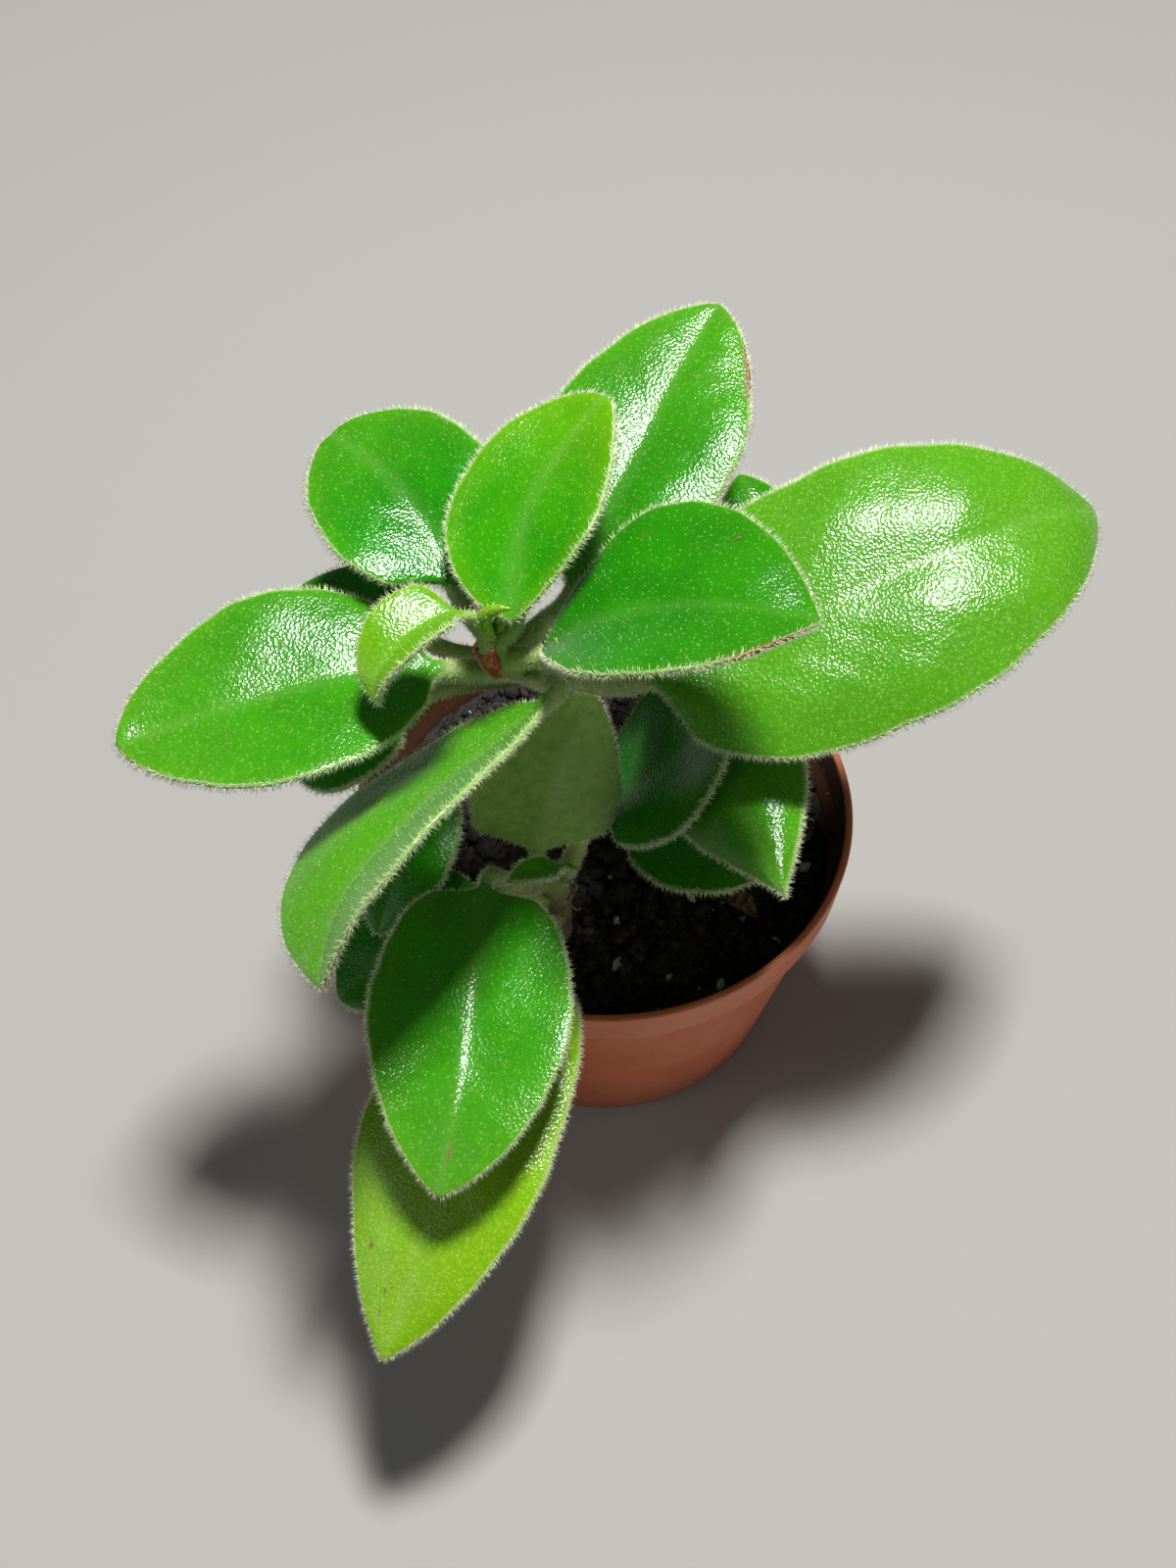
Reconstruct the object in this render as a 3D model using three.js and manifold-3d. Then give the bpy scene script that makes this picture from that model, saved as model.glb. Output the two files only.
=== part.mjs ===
// Potted peperomia: a young plant with thick oval leaves in a shallow round nursery pot.
// Units are millimetres, +Z is up, and the middle of the pot's bottom is the origin.
// The front of the plant, with its longest hanging leaf, points to -Y.
import * as THREE from "three";
import { mergeVertices } from "three/addons/utils/BufferGeometryUtils.js";
import ManifoldModule from "manifold-3d";

const wasm = await ManifoldModule();
wasm.setup();

// Driving dimensions of the pot.
const POT_HEIGHT = 54;
const RIM_RADIUS = 45;
const BASE_RADIUS = 33.5;
const COLLAR_HEIGHT = 8;
const COLLAR_STEP = 1.4;
const COLLAR_SLOPE = 0.8;
const POT_WALL = 1.5;
const POT_FLOOR = 2;
const INNER_CORNER = 2;
const RIM_ROUND = 0.5;
const POT_SIDES = 72;
const DRAIN_COUNT = 6;
const DRAIN_RADIUS = 3;
const DRAIN_CIRCLE = 24;
const HOLE_SIDES = 16;
const BASE_CHAMFER = 0.8;

// Driving dimensions of the soil and of the gaps between pieces.
const SOIL_TOP = 46;
const SOIL_SIDES = 48;
const SHOULDER_DROP = 2.5;
const SHOULDER_INSET = 1.2;
const SHOULDER_STEP = 1;
const SLOPE_INSET = 7;
const SLOPE_STEP = 0.3;
const DOME_RADIUS = 24;
const DOME_HEIGHT = 0.4;
const GAP = 0.3;
const SOIL_GAP = 0.4;
const STEM_HOLE_DEPTH = 12;
const HOLE_EXTRA = 0.1;

// Driving dimensions of the leaves.
const BLADE_THICKNESS = 1.5;
const MARGIN_THICKNESS = 0.8;
const ROW_LENGTH = 4;
const MIN_ROWS = 8;
const MAX_ROWS = 16;
const WIDE_LEAF = 20;
const WIDE_COLUMNS = 6;
const NARROW_COLUMNS = 4;
const END_HALF_WIDTH = 0.6;
const STALK_SIDES = 8;
const STALK_ROWS = 7;
const STALK_REACH = 3;
const STALK_TAPER = 0.8;
const VALLEY_SOFTNESS = 0.1;

// How far the curves of midribs and stalks reach towards their handles, as shares of their length.
const RIB_HANDLE = 0.36;
const STALK_OUT = 0.45;
const STALK_UP = 0.1;
const STALK_HANDLE = 0.35;

// Driving dimensions of the stems.
const STEM_SIDES = 12;
const STEM_ROWS = 16;

const COLOURS = {
  terracotta: 0xa8552c,
  soil: 0x17130f,
  green: 0x3f9a1e,
  lime: 0x86c21a,
  dark: 0x2a6f1c,
  stem: 0x8c8a52,
  dry: 0x8a6238,
};

// Each stem runs through its points from the soil to its top, with a radius at either end.
const STEMS = {
  main: {
    points: [
      [-2, 7, 36], [-2, 7, 55], [-3, 5, 80], [-7.5, -5, 100],
      [-12, -17.5, 113], [-14, -22.5, 120.5], [-16.5, -23, 128],
    ],
    radii: [3.3, 1.6],
  },
  front: {
    points: [[-8, -23, 36], [-8, -23, 52], [-8, -24, 62], [-9, -25, 69]],
    radii: [2.5, 2.1],
  },
  right: {
    points: [[15, 8, 36], [15, 8, 54], [16, 6, 72], [16, 3, 88]],
    radii: [2.5, 1.8],
  },
};

// A leaf starts at base and ends at tip. Angles are in degrees: roll turns the blade about
// its length, rise and droop lift the start and lower the end, bend bows it sideways, fold
// lifts both halves into a valley, and cup curls the halves back.
const LEAF_DEFAULTS = {
  roll: 0,
  rise: 15,
  droop: 15,
  bend: 0,
  fold: 12,
  cup: -0.1,
  widest: 0.48,
  baseFull: 0.55,
  tipFull: 0.75,
  stalk: 1.8,
  colour: "green",
};

const LEAVES = {
  leaf_right_big: {
    base: [6.8, -15, 107.2], tip: [77.2, 13.2, 116.3], width: 45.1, stem: "main", at: 0.64,
    roll: 16.8, rise: 8.1, droop: 46.6, bend: 4.5, fold: 10.6, cup: -0.26, widest: 0.4,
    baseFull: 0.62, tipFull: 0.71, stalk: 2,
  },
  leaf_back_top: {
    base: [-5, -6, 118], tip: [17.4, 39, 135.6], width: 32.6, stem: "main", at: 0.79, roll: -2,
    rise: 6, droop: 3, bend: -2, fold: 15, cup: -0.2, tipFull: 0.7, stalk: 1.9,
  },
  leaf_top_centre: {
    base: [-12.9, -25.8, 132.8], tip: [-0.1, 7.1, 144.9], width: 24.4, stem: "main", at: 0.96,
    roll: -16.2, rise: 10.6, droop: 2.1, bend: -23.3, fold: 5, cup: 0.1, widest: 0.44, baseFull: 1,
    tipFull: 0.6, stalk: 1.5, colour: "lime",
  },
  leaf_centre_right: {
    base: [-9, -27, 127.4], tip: [29, -32.5, 141], width: 39.5, stem: "main", at: 0.87, roll: -9,
    rise: 30, droop: 21, bend: -2, fold: 16, cup: -0.03, widest: 0.51, baseFull: 1, tipFull: 0.92,
    colour: "dark",
  },
  leaf_upper_left: {
    base: [-22.4, -13, 125.8], tip: [-43, 15, 129.2], width: 28.4, stem: "main", at: 0.87,
    roll: -10.5, rise: 25, droop: 13, bend: 15, fold: 10, cup: -0.05, widest: 0.45, baseFull: 0.52,
    tipFull: 0.55,
  },
  leaf_left_big: {
    base: [-24.7, -22.3, 117.7], tip: [-70.8, -35.6, 116], width: 34.3, stem: "main", at: 0.68,
    roll: -5.5, rise: 21, droop: 2.5, bend: 2, fold: 15, widest: 0.46, baseFull: 0.8, tipFull: 0.66,
    stalk: 2.1,
  },
  leaf_young_curl: {
    base: [-20, -25.7, 134], tip: [-31.5, -36.7, 127.3], width: 14, stem: "main", at: 0.87,
    roll: 13.5, rise: 37, droop: 57, bend: 29, fold: 27, cup: -0.03, widest: 0.34, baseFull: 0.76,
    tipFull: 0.94, stalk: 1, colour: "lime",
  },
  leaf_front_left: {
    base: [-7.9, -30, 120.6], tip: [-38, -71.8, 108.8], width: 35.6, stem: "main", at: 0.73, roll: 44,
    rise: 0, droop: 31, bend: 22, fold: 17, cup: -0.09, widest: 0.59, baseFull: 0.49, tipFull: 0.91,
  },
  leaf_underside: {
    base: [-11, -24.2, 73.6], tip: [-2, -14.6, 104], width: 24.9, stem: "front", at: 1, roll: 228,
    rise: -6, droop: -1, bend: 10, fold: 13.5, widest: 0.32, baseFull: 0.4, tipFull: 0.73, stalk: 1.4,
    colour: "dark",
  },
  leaf_centre_low: {
    base: [0.15, -14.9, 75.8], tip: [19.6, -10.4, 107], width: 26.6, stem: "front", at: 0.72,
    roll: 1.5, rise: -6, droop: -10, bend: 24, fold: 6, cup: 0, widest: 0.47, baseFull: 0.48,
    tipFull: 0.73, colour: "dark",
  },
  leaf_right_small: {
    base: [15.5, -9.1, 90.1], tip: [28.1, -43.4, 89.3], width: 23.5, stem: "right", at: 0.9,
    roll: 27.8, rise: 25.3, droop: 12, widest: 0.38, tipFull: 1.18, cup: -0.6, bend: -5,
  },
  leaf_low_shadow: {
    base: [4, -10, 63], tip: [31, -19, 64], width: 26, stem: "right", at: 0.5, rise: 20, droop: 25,
    fold: 4, colour: "dark",
  },
  leaf_back_right: {
    base: [29, 10, 100], tip: [22, 29, 108], width: 14, stem: "right", at: 1, fold: 6, stalk: 1.3,
    colour: "dark",
  },
  leaf_back_left: {
    base: [-28, -5, 104], tip: [-50, 6, 104], width: 20, stem: "main", at: 0.55, fold: 6,
    colour: "dark",
  },
  leaf_low_tip: {
    base: [-32, -13, 96], tip: [-50, -18, 86], width: 13, stem: "main", at: 0.45, bend: -30, fold: 6,
    tipFull: 1, stalk: 1.3, colour: "dark",
  },
  bud: {
    base: [-16.2, -25.35, 129.2], tip: [-13.5, -28.6, 134.6], width: 2.2, stem: "main", at: 1,
    rise: 50, droop: 30, fold: 40, stalk: 0.6, colour: "lime",
  },
  leaf_front_young: {
    base: [-6.6, -28.9, 75.8], tip: [-15.2, -35, 80.8], width: 5.4, stem: "front", at: 0.9, fold: 16,
    stalk: 0.8,
  },
  leaf_front: {
    base: [-19, -34.6, 78.8], tip: [-24, -84.3, 69.7], width: 32.8, stem: "front", at: 0.88,
    roll: -6.4, rise: 11.5, droop: 15.8, bend: -2.8, fold: 20, cup: -0.07, widest: 0.46,
    tipFull: 0.77, stalk: 1.5,
  },
  leaf_bottom: {
    base: [-12.8, -40.7, 65.6], tip: [-33.3, -100, 44.6], width: 32, stem: "front", at: 0.4, roll: 5,
    rise: 29, droop: 21, bend: -4, fold: 5, cup: -0.17, widest: 0.44, baseFull: 0.4, tipFull: 0.84,
    colour: "lime",
  },
  leaf_inner_left: {
    base: [-27, -17, 84], tip: [-36, -41, 74], width: 16, stem: "main", at: 0.36, fold: 10,
    stalk: 1.3, colour: "dark",
  },
  leaf_low_left: {
    base: [-18, -30, 69.5], tip: [-43, -46, 61.4], width: 26, stem: "front", at: 0.6, fold: 10,
    stalk: 1.4, colour: "dark",
  },
};

// Dry scraps of old leaf that lie on the soil.
const DRY_SCRAPS = {
  dry_scrap_front: { base: [21, -15.5, 47.4], tip: [27.5, -20, 47.6], width: 4.5, rise: 25, droop: 30 },
  dry_scrap_right: { base: [34.5, -5, 46.8], tip: [38.5, 1.5, 47], width: 4, rise: 30, droop: 10 },
};

/** Turn an array of three numbers into a vector. */
function vector(values) {
  return new THREE.Vector3(...values);
}

/** Turn a mesh geometry into a body that can be joined and cut. */
function toBody(source) {
  const positions = new THREE.BufferGeometry();
  positions.setAttribute("position", source.attributes.position);
  positions.setIndex(source.index);
  const shape = mergeVertices(positions, 1e-4);
  const corners = [];
  for (let start = 0; start < shape.index.count; start += 3) {
    const [a, b, c] = shape.index.array.slice(start, start + 3);
    if (a !== b && b !== c && c !== a) {
      corners.push(a, b, c);
    }
  }
  const mesh = new wasm.Mesh({
    numProp: 3,
    vertProperties: Float32Array.from(shape.attributes.position.array),
    triVerts: Uint32Array.from(corners),
  });
  return new wasm.Manifold(mesh);
}

/** Turn a joined or cut body back into a mesh geometry. */
function toGeometry(body) {
  const mesh = body.getMesh();
  const geometry = new THREE.BufferGeometry();
  geometry.setAttribute("position", new THREE.BufferAttribute(mesh.vertProperties, 3));
  geometry.setIndex(new THREE.BufferAttribute(mesh.triVerts, 1));
  return geometry;
}

/** Make the named part with its own plain material. */
function part(name, geometry, colour, roughness = 0.5) {
  const material = new THREE.MeshStandardMaterial({ color: COLOURS[colour], roughness });
  material.name = name;
  const mesh = new THREE.Mesh(geometry, material);
  mesh.name = name;
  return mesh;
}

/** Skin a row of closed rings of points, and close both ends with a fan. */
function skin(rings) {
  const count = rings[0].length;
  const points = rings.flat();
  const triangles = [];
  for (let row = 0; row < rings.length - 1; row += 1) {
    for (let step = 0; step < count; step += 1) {
      const next = (step + 1) % count;
      const near = row * count;
      const far = near + count;
      triangles.push(near + step, near + next, far + next);
      triangles.push(near + step, far + next, far + step);
    }
  }
  const last = (rings.length - 1) * count;
  const middleOf = (ring) => ring.reduce((sum, p) => sum.add(p), vector([0, 0, 0])).divideScalar(count);
  points.push(middleOf(rings[0]), middleOf(rings[rings.length - 1]));
  for (let step = 0; step < count; step += 1) {
    const next = (step + 1) % count;
    triangles.push(points.length - 2, next, step);
    triangles.push(points.length - 1, last + step, last + next);
  }
  const geometry = new THREE.BufferGeometry().setFromPoints(points);
  geometry.setIndex(triangles);
  return geometry;
}

/** Make a round rod along a curve, with a radius that changes evenly between its ends. */
function rod(curve, radii, rows, sides) {
  const rings = [];
  let side = vector([1, 0, 0]);
  for (let row = 0; row <= rows; row += 1) {
    const u = row / rows;
    const centre = curve.getPoint(u);
    const along = curve.getTangent(u);
    side = side.clone().addScaledVector(along, -side.dot(along)).normalize();
    const up = new THREE.Vector3().crossVectors(along, side);
    const radius = radii[0] + (radii[1] - radii[0]) * u;
    const ring = [];
    for (let step = 0; step < sides; step += 1) {
      const angle = (step / sides) * Math.PI * 2;
      const offset = side.clone().multiplyScalar(Math.cos(angle)).addScaledVector(up, Math.sin(angle));
      ring.push(centre.clone().addScaledVector(offset, radius));
    }
    rings.push(ring);
  }
  return skin(rings);
}

/** Half width of a leaf, as a share of its widest, at a share of its length. */
function outline(u, leaf) {
  const s = u ** (Math.log(0.5) / Math.log(leaf.widest));
  if (s < 0.5) {
    return (1 - (1 - 2 * s) ** 2) ** leaf.baseFull;
  }
  return (1 - (2 * s - 1) ** 2) ** leaf.tipFull;
}

/** The midrib curve of a leaf and the frame that its blade is drawn in. */
function midrib(leaf) {
  const rad = THREE.MathUtils.degToRad;
  const base = vector(leaf.base);
  const tip = vector(leaf.tip);
  const length = base.distanceTo(tip);
  const along = tip.clone().sub(base).normalize();
  const up = vector([0, 0, 1]).addScaledVector(along, -along.z).normalize();
  up.applyAxisAngle(along, rad(leaf.roll));
  const side = new THREE.Vector3().crossVectors(along, up);
  const aim = (lift, sway) => along
    .clone()
    .multiplyScalar(Math.cos(rad(lift)) * Math.cos(rad(sway)))
    .addScaledVector(up, Math.sin(rad(lift)))
    .addScaledVector(side, Math.cos(rad(lift)) * Math.sin(rad(sway)));
  const start = aim(leaf.rise, leaf.bend);
  const end = aim(-leaf.droop, -leaf.bend);
  const curve = new THREE.CubicBezierCurve3(
    base,
    base.clone().addScaledVector(start, RIB_HANDLE * length),
    tip.clone().addScaledVector(end, -RIB_HANDLE * length),
    tip,
  );
  return { curve, side, start, length };
}

/** Make the blade of a leaf: every ring is one slice across it, upper face then lower face. */
function blade(leaf, rib) {
  const rings = [];
  const rows = THREE.MathUtils.clamp(Math.round(rib.length / ROW_LENGTH), MIN_ROWS, MAX_ROWS);
  const columns = leaf.width > WIDE_LEAF ? WIDE_COLUMNS : NARROW_COLUMNS;
  for (let row = 0; row <= rows; row += 1) {
    const u = row / rows;
    const centre = rib.curve.getPoint(u);
    const along = rib.curve.getTangent(u);
    const across = rib.side.clone().addScaledVector(along, -rib.side.dot(along)).normalize();
    const face = new THREE.Vector3().crossVectors(across, along);
    const halfWidth = Math.max(END_HALF_WIDTH, (leaf.width / 2) * outline(u, leaf));
    const tilt = THREE.MathUtils.degToRad(leaf.fold);
    const upper = [];
    const lower = [];
    for (let step = 0; step <= columns; step += 1) {
      const v = (2 * step) / columns - 1;
      const soft = Math.hypot(v, VALLEY_SOFTNESS) - VALLEY_SOFTNESS;
      const height = halfWidth * (Math.tan(tilt) * soft + leaf.cup * v * v);
      const point = centre
        .clone()
        .addScaledVector(across, halfWidth * v * Math.cos(tilt))
        .addScaledVector(face, height);
      const half = (BLADE_THICKNESS + (MARGIN_THICKNESS - BLADE_THICKNESS) * v * v) / 2;
      upper.push(point.clone().addScaledVector(face, half));
      lower.unshift(point.clone().addScaledVector(face, -half));
    }
    rings.push([...upper, ...lower]);
  }
  return skin(rings);
}

/** The curve that a stem follows, which may run on past its top. */
function stemCurve(stem, extra = 0) {
  const points = stem.points.map(vector);
  const top = points[points.length - 1];
  const ahead = top.clone().sub(points[points.length - 2]).normalize();
  points[points.length - 1] = top.clone().addScaledVector(ahead, extra);
  return new THREE.CatmullRomCurve3(points, false, "centripetal");
}

/** The curve of a stalk, which leaves the stem sideways and runs on into the blade. */
function stalkCurve(spec, rib, stem) {
  const curve = stemCurve(stem);
  const foot = curve.getPoint(spec.at);
  const along = curve.getTangent(spec.at);
  const base = vector(spec.base);
  const reach = foot.distanceTo(base);
  const out = base.clone().sub(foot);
  out.addScaledVector(along, -out.dot(along)).normalize();
  return new THREE.CubicBezierCurve3(
    foot,
    foot
      .clone()
      .addScaledVector(out, STALK_OUT * reach)
      .addScaledVector(along, STALK_UP * reach),
    base.clone().addScaledVector(rib.start, -STALK_HANDLE * reach),
    base.clone().addScaledVector(rib.start, STALK_REACH),
  );
}

/** Make a leaf: its blade joined with the stalk that runs to its stem, cut clear of the stem. */
function leaf(name, values) {
  const spec = { ...LEAF_DEFAULTS, ...values };
  const rib = midrib(spec);
  const stem = STEMS[spec.stem];
  const ends = [spec.stalk, spec.stalk * STALK_TAPER];
  const stalk = toBody(rod(stalkCurve(spec, rib, stem), ends, STALK_ROWS, STALK_SIDES));
  const clear = rod(stemCurve(stem, GAP), stem.radii.map((r) => r + GAP), STEM_ROWS, STEM_SIDES);
  const body = toBody(blade(spec, rib)).add(stalk).subtract(toBody(clear));
  const pieces = body.decompose().sort((a, b) => b.volume() - a.volume());
  return part(name, toGeometry(pieces[0]), spec.colour, 0.4);
}

/** Outer radius of the pot's tapered body at a height. */
function wallAt(z) {
  const top = RIM_RADIUS - COLLAR_SLOPE - COLLAR_STEP;
  return BASE_RADIUS + ((top - BASE_RADIUS) * z) / (POT_HEIGHT - COLLAR_HEIGHT);
}

/** Make the pot: a tapered shell with a collar, a flat floor and drain holes. */
function pot() {
  const collarFoot = POT_HEIGHT - COLLAR_HEIGHT;
  const profile = [
    [0, 0],
    [BASE_RADIUS - BASE_CHAMFER, 0],
    [wallAt(BASE_CHAMFER), BASE_CHAMFER],
    [wallAt(collarFoot), collarFoot],
    [RIM_RADIUS - COLLAR_SLOPE - RIM_ROUND, collarFoot],
    [RIM_RADIUS - COLLAR_SLOPE, collarFoot + RIM_ROUND],
    [RIM_RADIUS, POT_HEIGHT - RIM_ROUND],
    [RIM_RADIUS - RIM_ROUND, POT_HEIGHT],
    [RIM_RADIUS - POT_WALL, POT_HEIGHT],
    [RIM_RADIUS - POT_WALL - COLLAR_SLOPE, collarFoot + POT_WALL],
    [wallAt(collarFoot) - POT_WALL, collarFoot - POT_WALL],
    [wallAt(POT_FLOOR + INNER_CORNER) - POT_WALL, POT_FLOOR + INNER_CORNER],
    [wallAt(POT_FLOOR) - POT_WALL - INNER_CORNER, POT_FLOOR],
    [0, POT_FLOOR],
  ];
  let body = toBody(lathe(profile, POT_SIDES));
  for (let index = 0; index < DRAIN_COUNT; index += 1) {
    const angle = ((index + 0.5) / DRAIN_COUNT) * Math.PI * 2;
    const drill = new THREE.CylinderGeometry(DRAIN_RADIUS, DRAIN_RADIUS, 4 * POT_FLOOR, HOLE_SIDES);
    drill.rotateX(Math.PI / 2);
    drill.translate(Math.cos(angle) * DRAIN_CIRCLE, Math.sin(angle) * DRAIN_CIRCLE, 0);
    body = body.subtract(toBody(drill));
  }
  return part("pot", toGeometry(body), "terracotta", 0.55);
}

/** Turn a profile of radius and height pairs, listed from the bottom, about the Z axis. */
function lathe(profile, sides) {
  const geometry = new THREE.LatheGeometry(profile.map(([r, z]) => new THREE.Vector2(r, z)), sides);
  geometry.rotateX(Math.PI / 2);
  return geometry;
}

/** Make the soil: a filling with a slightly domed top and a plain hole for every stem. */
function soil() {
  const insideAt = (z) => wallAt(z) - POT_WALL - SOIL_GAP;
  const floor = POT_FLOOR + GAP;
  const corner = floor + INNER_CORNER;
  const shoulder = SOIL_TOP - SHOULDER_DROP;
  const profile = [
    [0, floor],
    [insideAt(floor) - INNER_CORNER, floor],
    [insideAt(corner), corner],
    [insideAt(shoulder), shoulder],
    [insideAt(shoulder) - SHOULDER_INSET, SOIL_TOP - SHOULDER_STEP],
    [insideAt(shoulder) - SLOPE_INSET, SOIL_TOP - SLOPE_STEP],
    [DOME_RADIUS, SOIL_TOP + DOME_HEIGHT],
    [DOME_RADIUS / 2, SOIL_TOP + DOME_HEIGHT / 2],
    [0, SOIL_TOP],
  ];
  let body = toBody(lathe(profile, SOIL_SIDES));
  for (const stem of Object.values(STEMS)) {
    const [x, y] = stem.points[0];
    const radius = stem.radii[0] + GAP + HOLE_EXTRA;
    const drill = new THREE.CylinderGeometry(radius, radius, STEM_HOLE_DEPTH * 2, HOLE_SIDES);
    drill.rotateX(Math.PI / 2);
    drill.translate(x, y, SOIL_TOP);
    body = body.subtract(toBody(drill));
  }
  return part("soil", toGeometry(body), "soil", 0.95);
}

const plant = new THREE.Group();
plant.name = "potted_peperomia";
plant.add(pot(), soil());
for (const [name, stem] of Object.entries(STEMS)) {
  plant.add(part(`stem_${name}`, rod(stemCurve(stem), stem.radii, STEM_ROWS, STEM_SIDES), "stem", 0.7));
}
for (const [name, values] of Object.entries(LEAVES)) {
  plant.add(leaf(name, values));
}
for (const [name, values] of Object.entries(DRY_SCRAPS)) {
  const spec = { ...LEAF_DEFAULTS, ...values };
  plant.add(part(name, blade(spec, midrib(spec)), "dry", 0.9));
}

export default plant;
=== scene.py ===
"""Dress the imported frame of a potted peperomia.

The plant has three shoots of thick, glossy, short-haired leaves. It stands in damp peat in
a shallow terracotta-coloured nursery pot. Sizes below are in millimetres where a name ends
in _mm or a table says so, and everything that reaches Blender is in metres.
"""
import logging
import math
from dataclasses import dataclass, field
from enum import Enum
from typing import Any

import bmesh
import bpy
import numpy as np
from mathutils import Euler, Matrix, Vector, noise


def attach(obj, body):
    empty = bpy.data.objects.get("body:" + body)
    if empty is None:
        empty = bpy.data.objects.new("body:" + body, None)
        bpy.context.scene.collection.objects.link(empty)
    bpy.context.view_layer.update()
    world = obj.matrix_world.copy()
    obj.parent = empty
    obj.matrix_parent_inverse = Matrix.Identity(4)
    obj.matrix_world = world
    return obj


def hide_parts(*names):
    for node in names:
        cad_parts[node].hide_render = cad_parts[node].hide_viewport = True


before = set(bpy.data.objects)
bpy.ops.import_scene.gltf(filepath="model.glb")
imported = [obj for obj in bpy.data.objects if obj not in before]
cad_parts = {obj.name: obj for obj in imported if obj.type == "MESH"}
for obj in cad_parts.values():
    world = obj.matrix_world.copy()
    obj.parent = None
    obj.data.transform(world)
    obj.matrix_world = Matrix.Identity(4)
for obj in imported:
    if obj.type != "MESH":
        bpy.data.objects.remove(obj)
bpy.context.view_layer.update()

LOG = logging.getLogger("peperomia")
MM = 0.001
BODY = "root"
Colour = tuple[float, float, float]
Point = tuple[float, float, float]


class Slot(Enum):
    """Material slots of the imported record."""

    POT = "pot_plastic"
    SOIL = "soil"
    STEM = "stem"
    GREEN = "leaf_green"
    LIME = "leaf_lime"
    DARK = "leaf_dark"
    DRY = "dry_leaf"


class Shoot(Enum):
    """The three stems that stand in the soil."""

    MAIN = "stem_main"
    FRONT = "stem_front"
    RIGHT = "stem_right"


# Shader helpers


class Value:
    """A shader socket that takes part in ordinary arithmetic."""

    def __init__(self, shader: "Shader", socket: bpy.types.NodeSocket) -> None:
        """Keep the socket and the shader that it belongs to."""
        self.shader = shader
        self.socket = socket

    def _math(self, operation: str, *values: Any) -> "Value":
        """Add one Math node and return its result."""
        inputs = dict(enumerate(values))
        return self.shader.node("ShaderNodeMath", {"operation": operation}, inputs)

    def __add__(self, other: Any) -> "Value":
        """Add."""
        return self._math("ADD", self, other)

    def __radd__(self, other: Any) -> "Value":
        """Add to a plain number."""
        return self._math("ADD", other, self)

    def __sub__(self, other: Any) -> "Value":
        """Subtract."""
        return self._math("SUBTRACT", self, other)

    def __rsub__(self, other: Any) -> "Value":
        """Subtract from a plain number."""
        return self._math("SUBTRACT", other, self)

    def __mul__(self, other: Any) -> "Value":
        """Multiply."""
        return self._math("MULTIPLY", self, other)

    def __rmul__(self, other: Any) -> "Value":
        """Multiply a plain number."""
        return self._math("MULTIPLY", other, self)

    def __truediv__(self, other: Any) -> "Value":
        """Divide."""
        return self._math("DIVIDE", self, other)

    def fade(self, start: float, end: float) -> "Value":
        """Rise smoothly from 0 at start to 1 at end.

        Args:
            start: The value where the result is 0.
            end: The value where the result is 1, which may be below start.

        Returns:
            The smooth share between the two.
        """
        low, high = (0.0, 1.0) if start < end else (1.0, 0.0)
        settings = {"interpolation_type": "SMOOTHSTEP"}
        inputs = {"Value": self, "From Min": min(start, end), "From Max": max(start, end)}
        inputs.update({"To Min": low, "To Max": high})
        return self.shader.node("ShaderNodeMapRange", settings, inputs)


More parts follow.
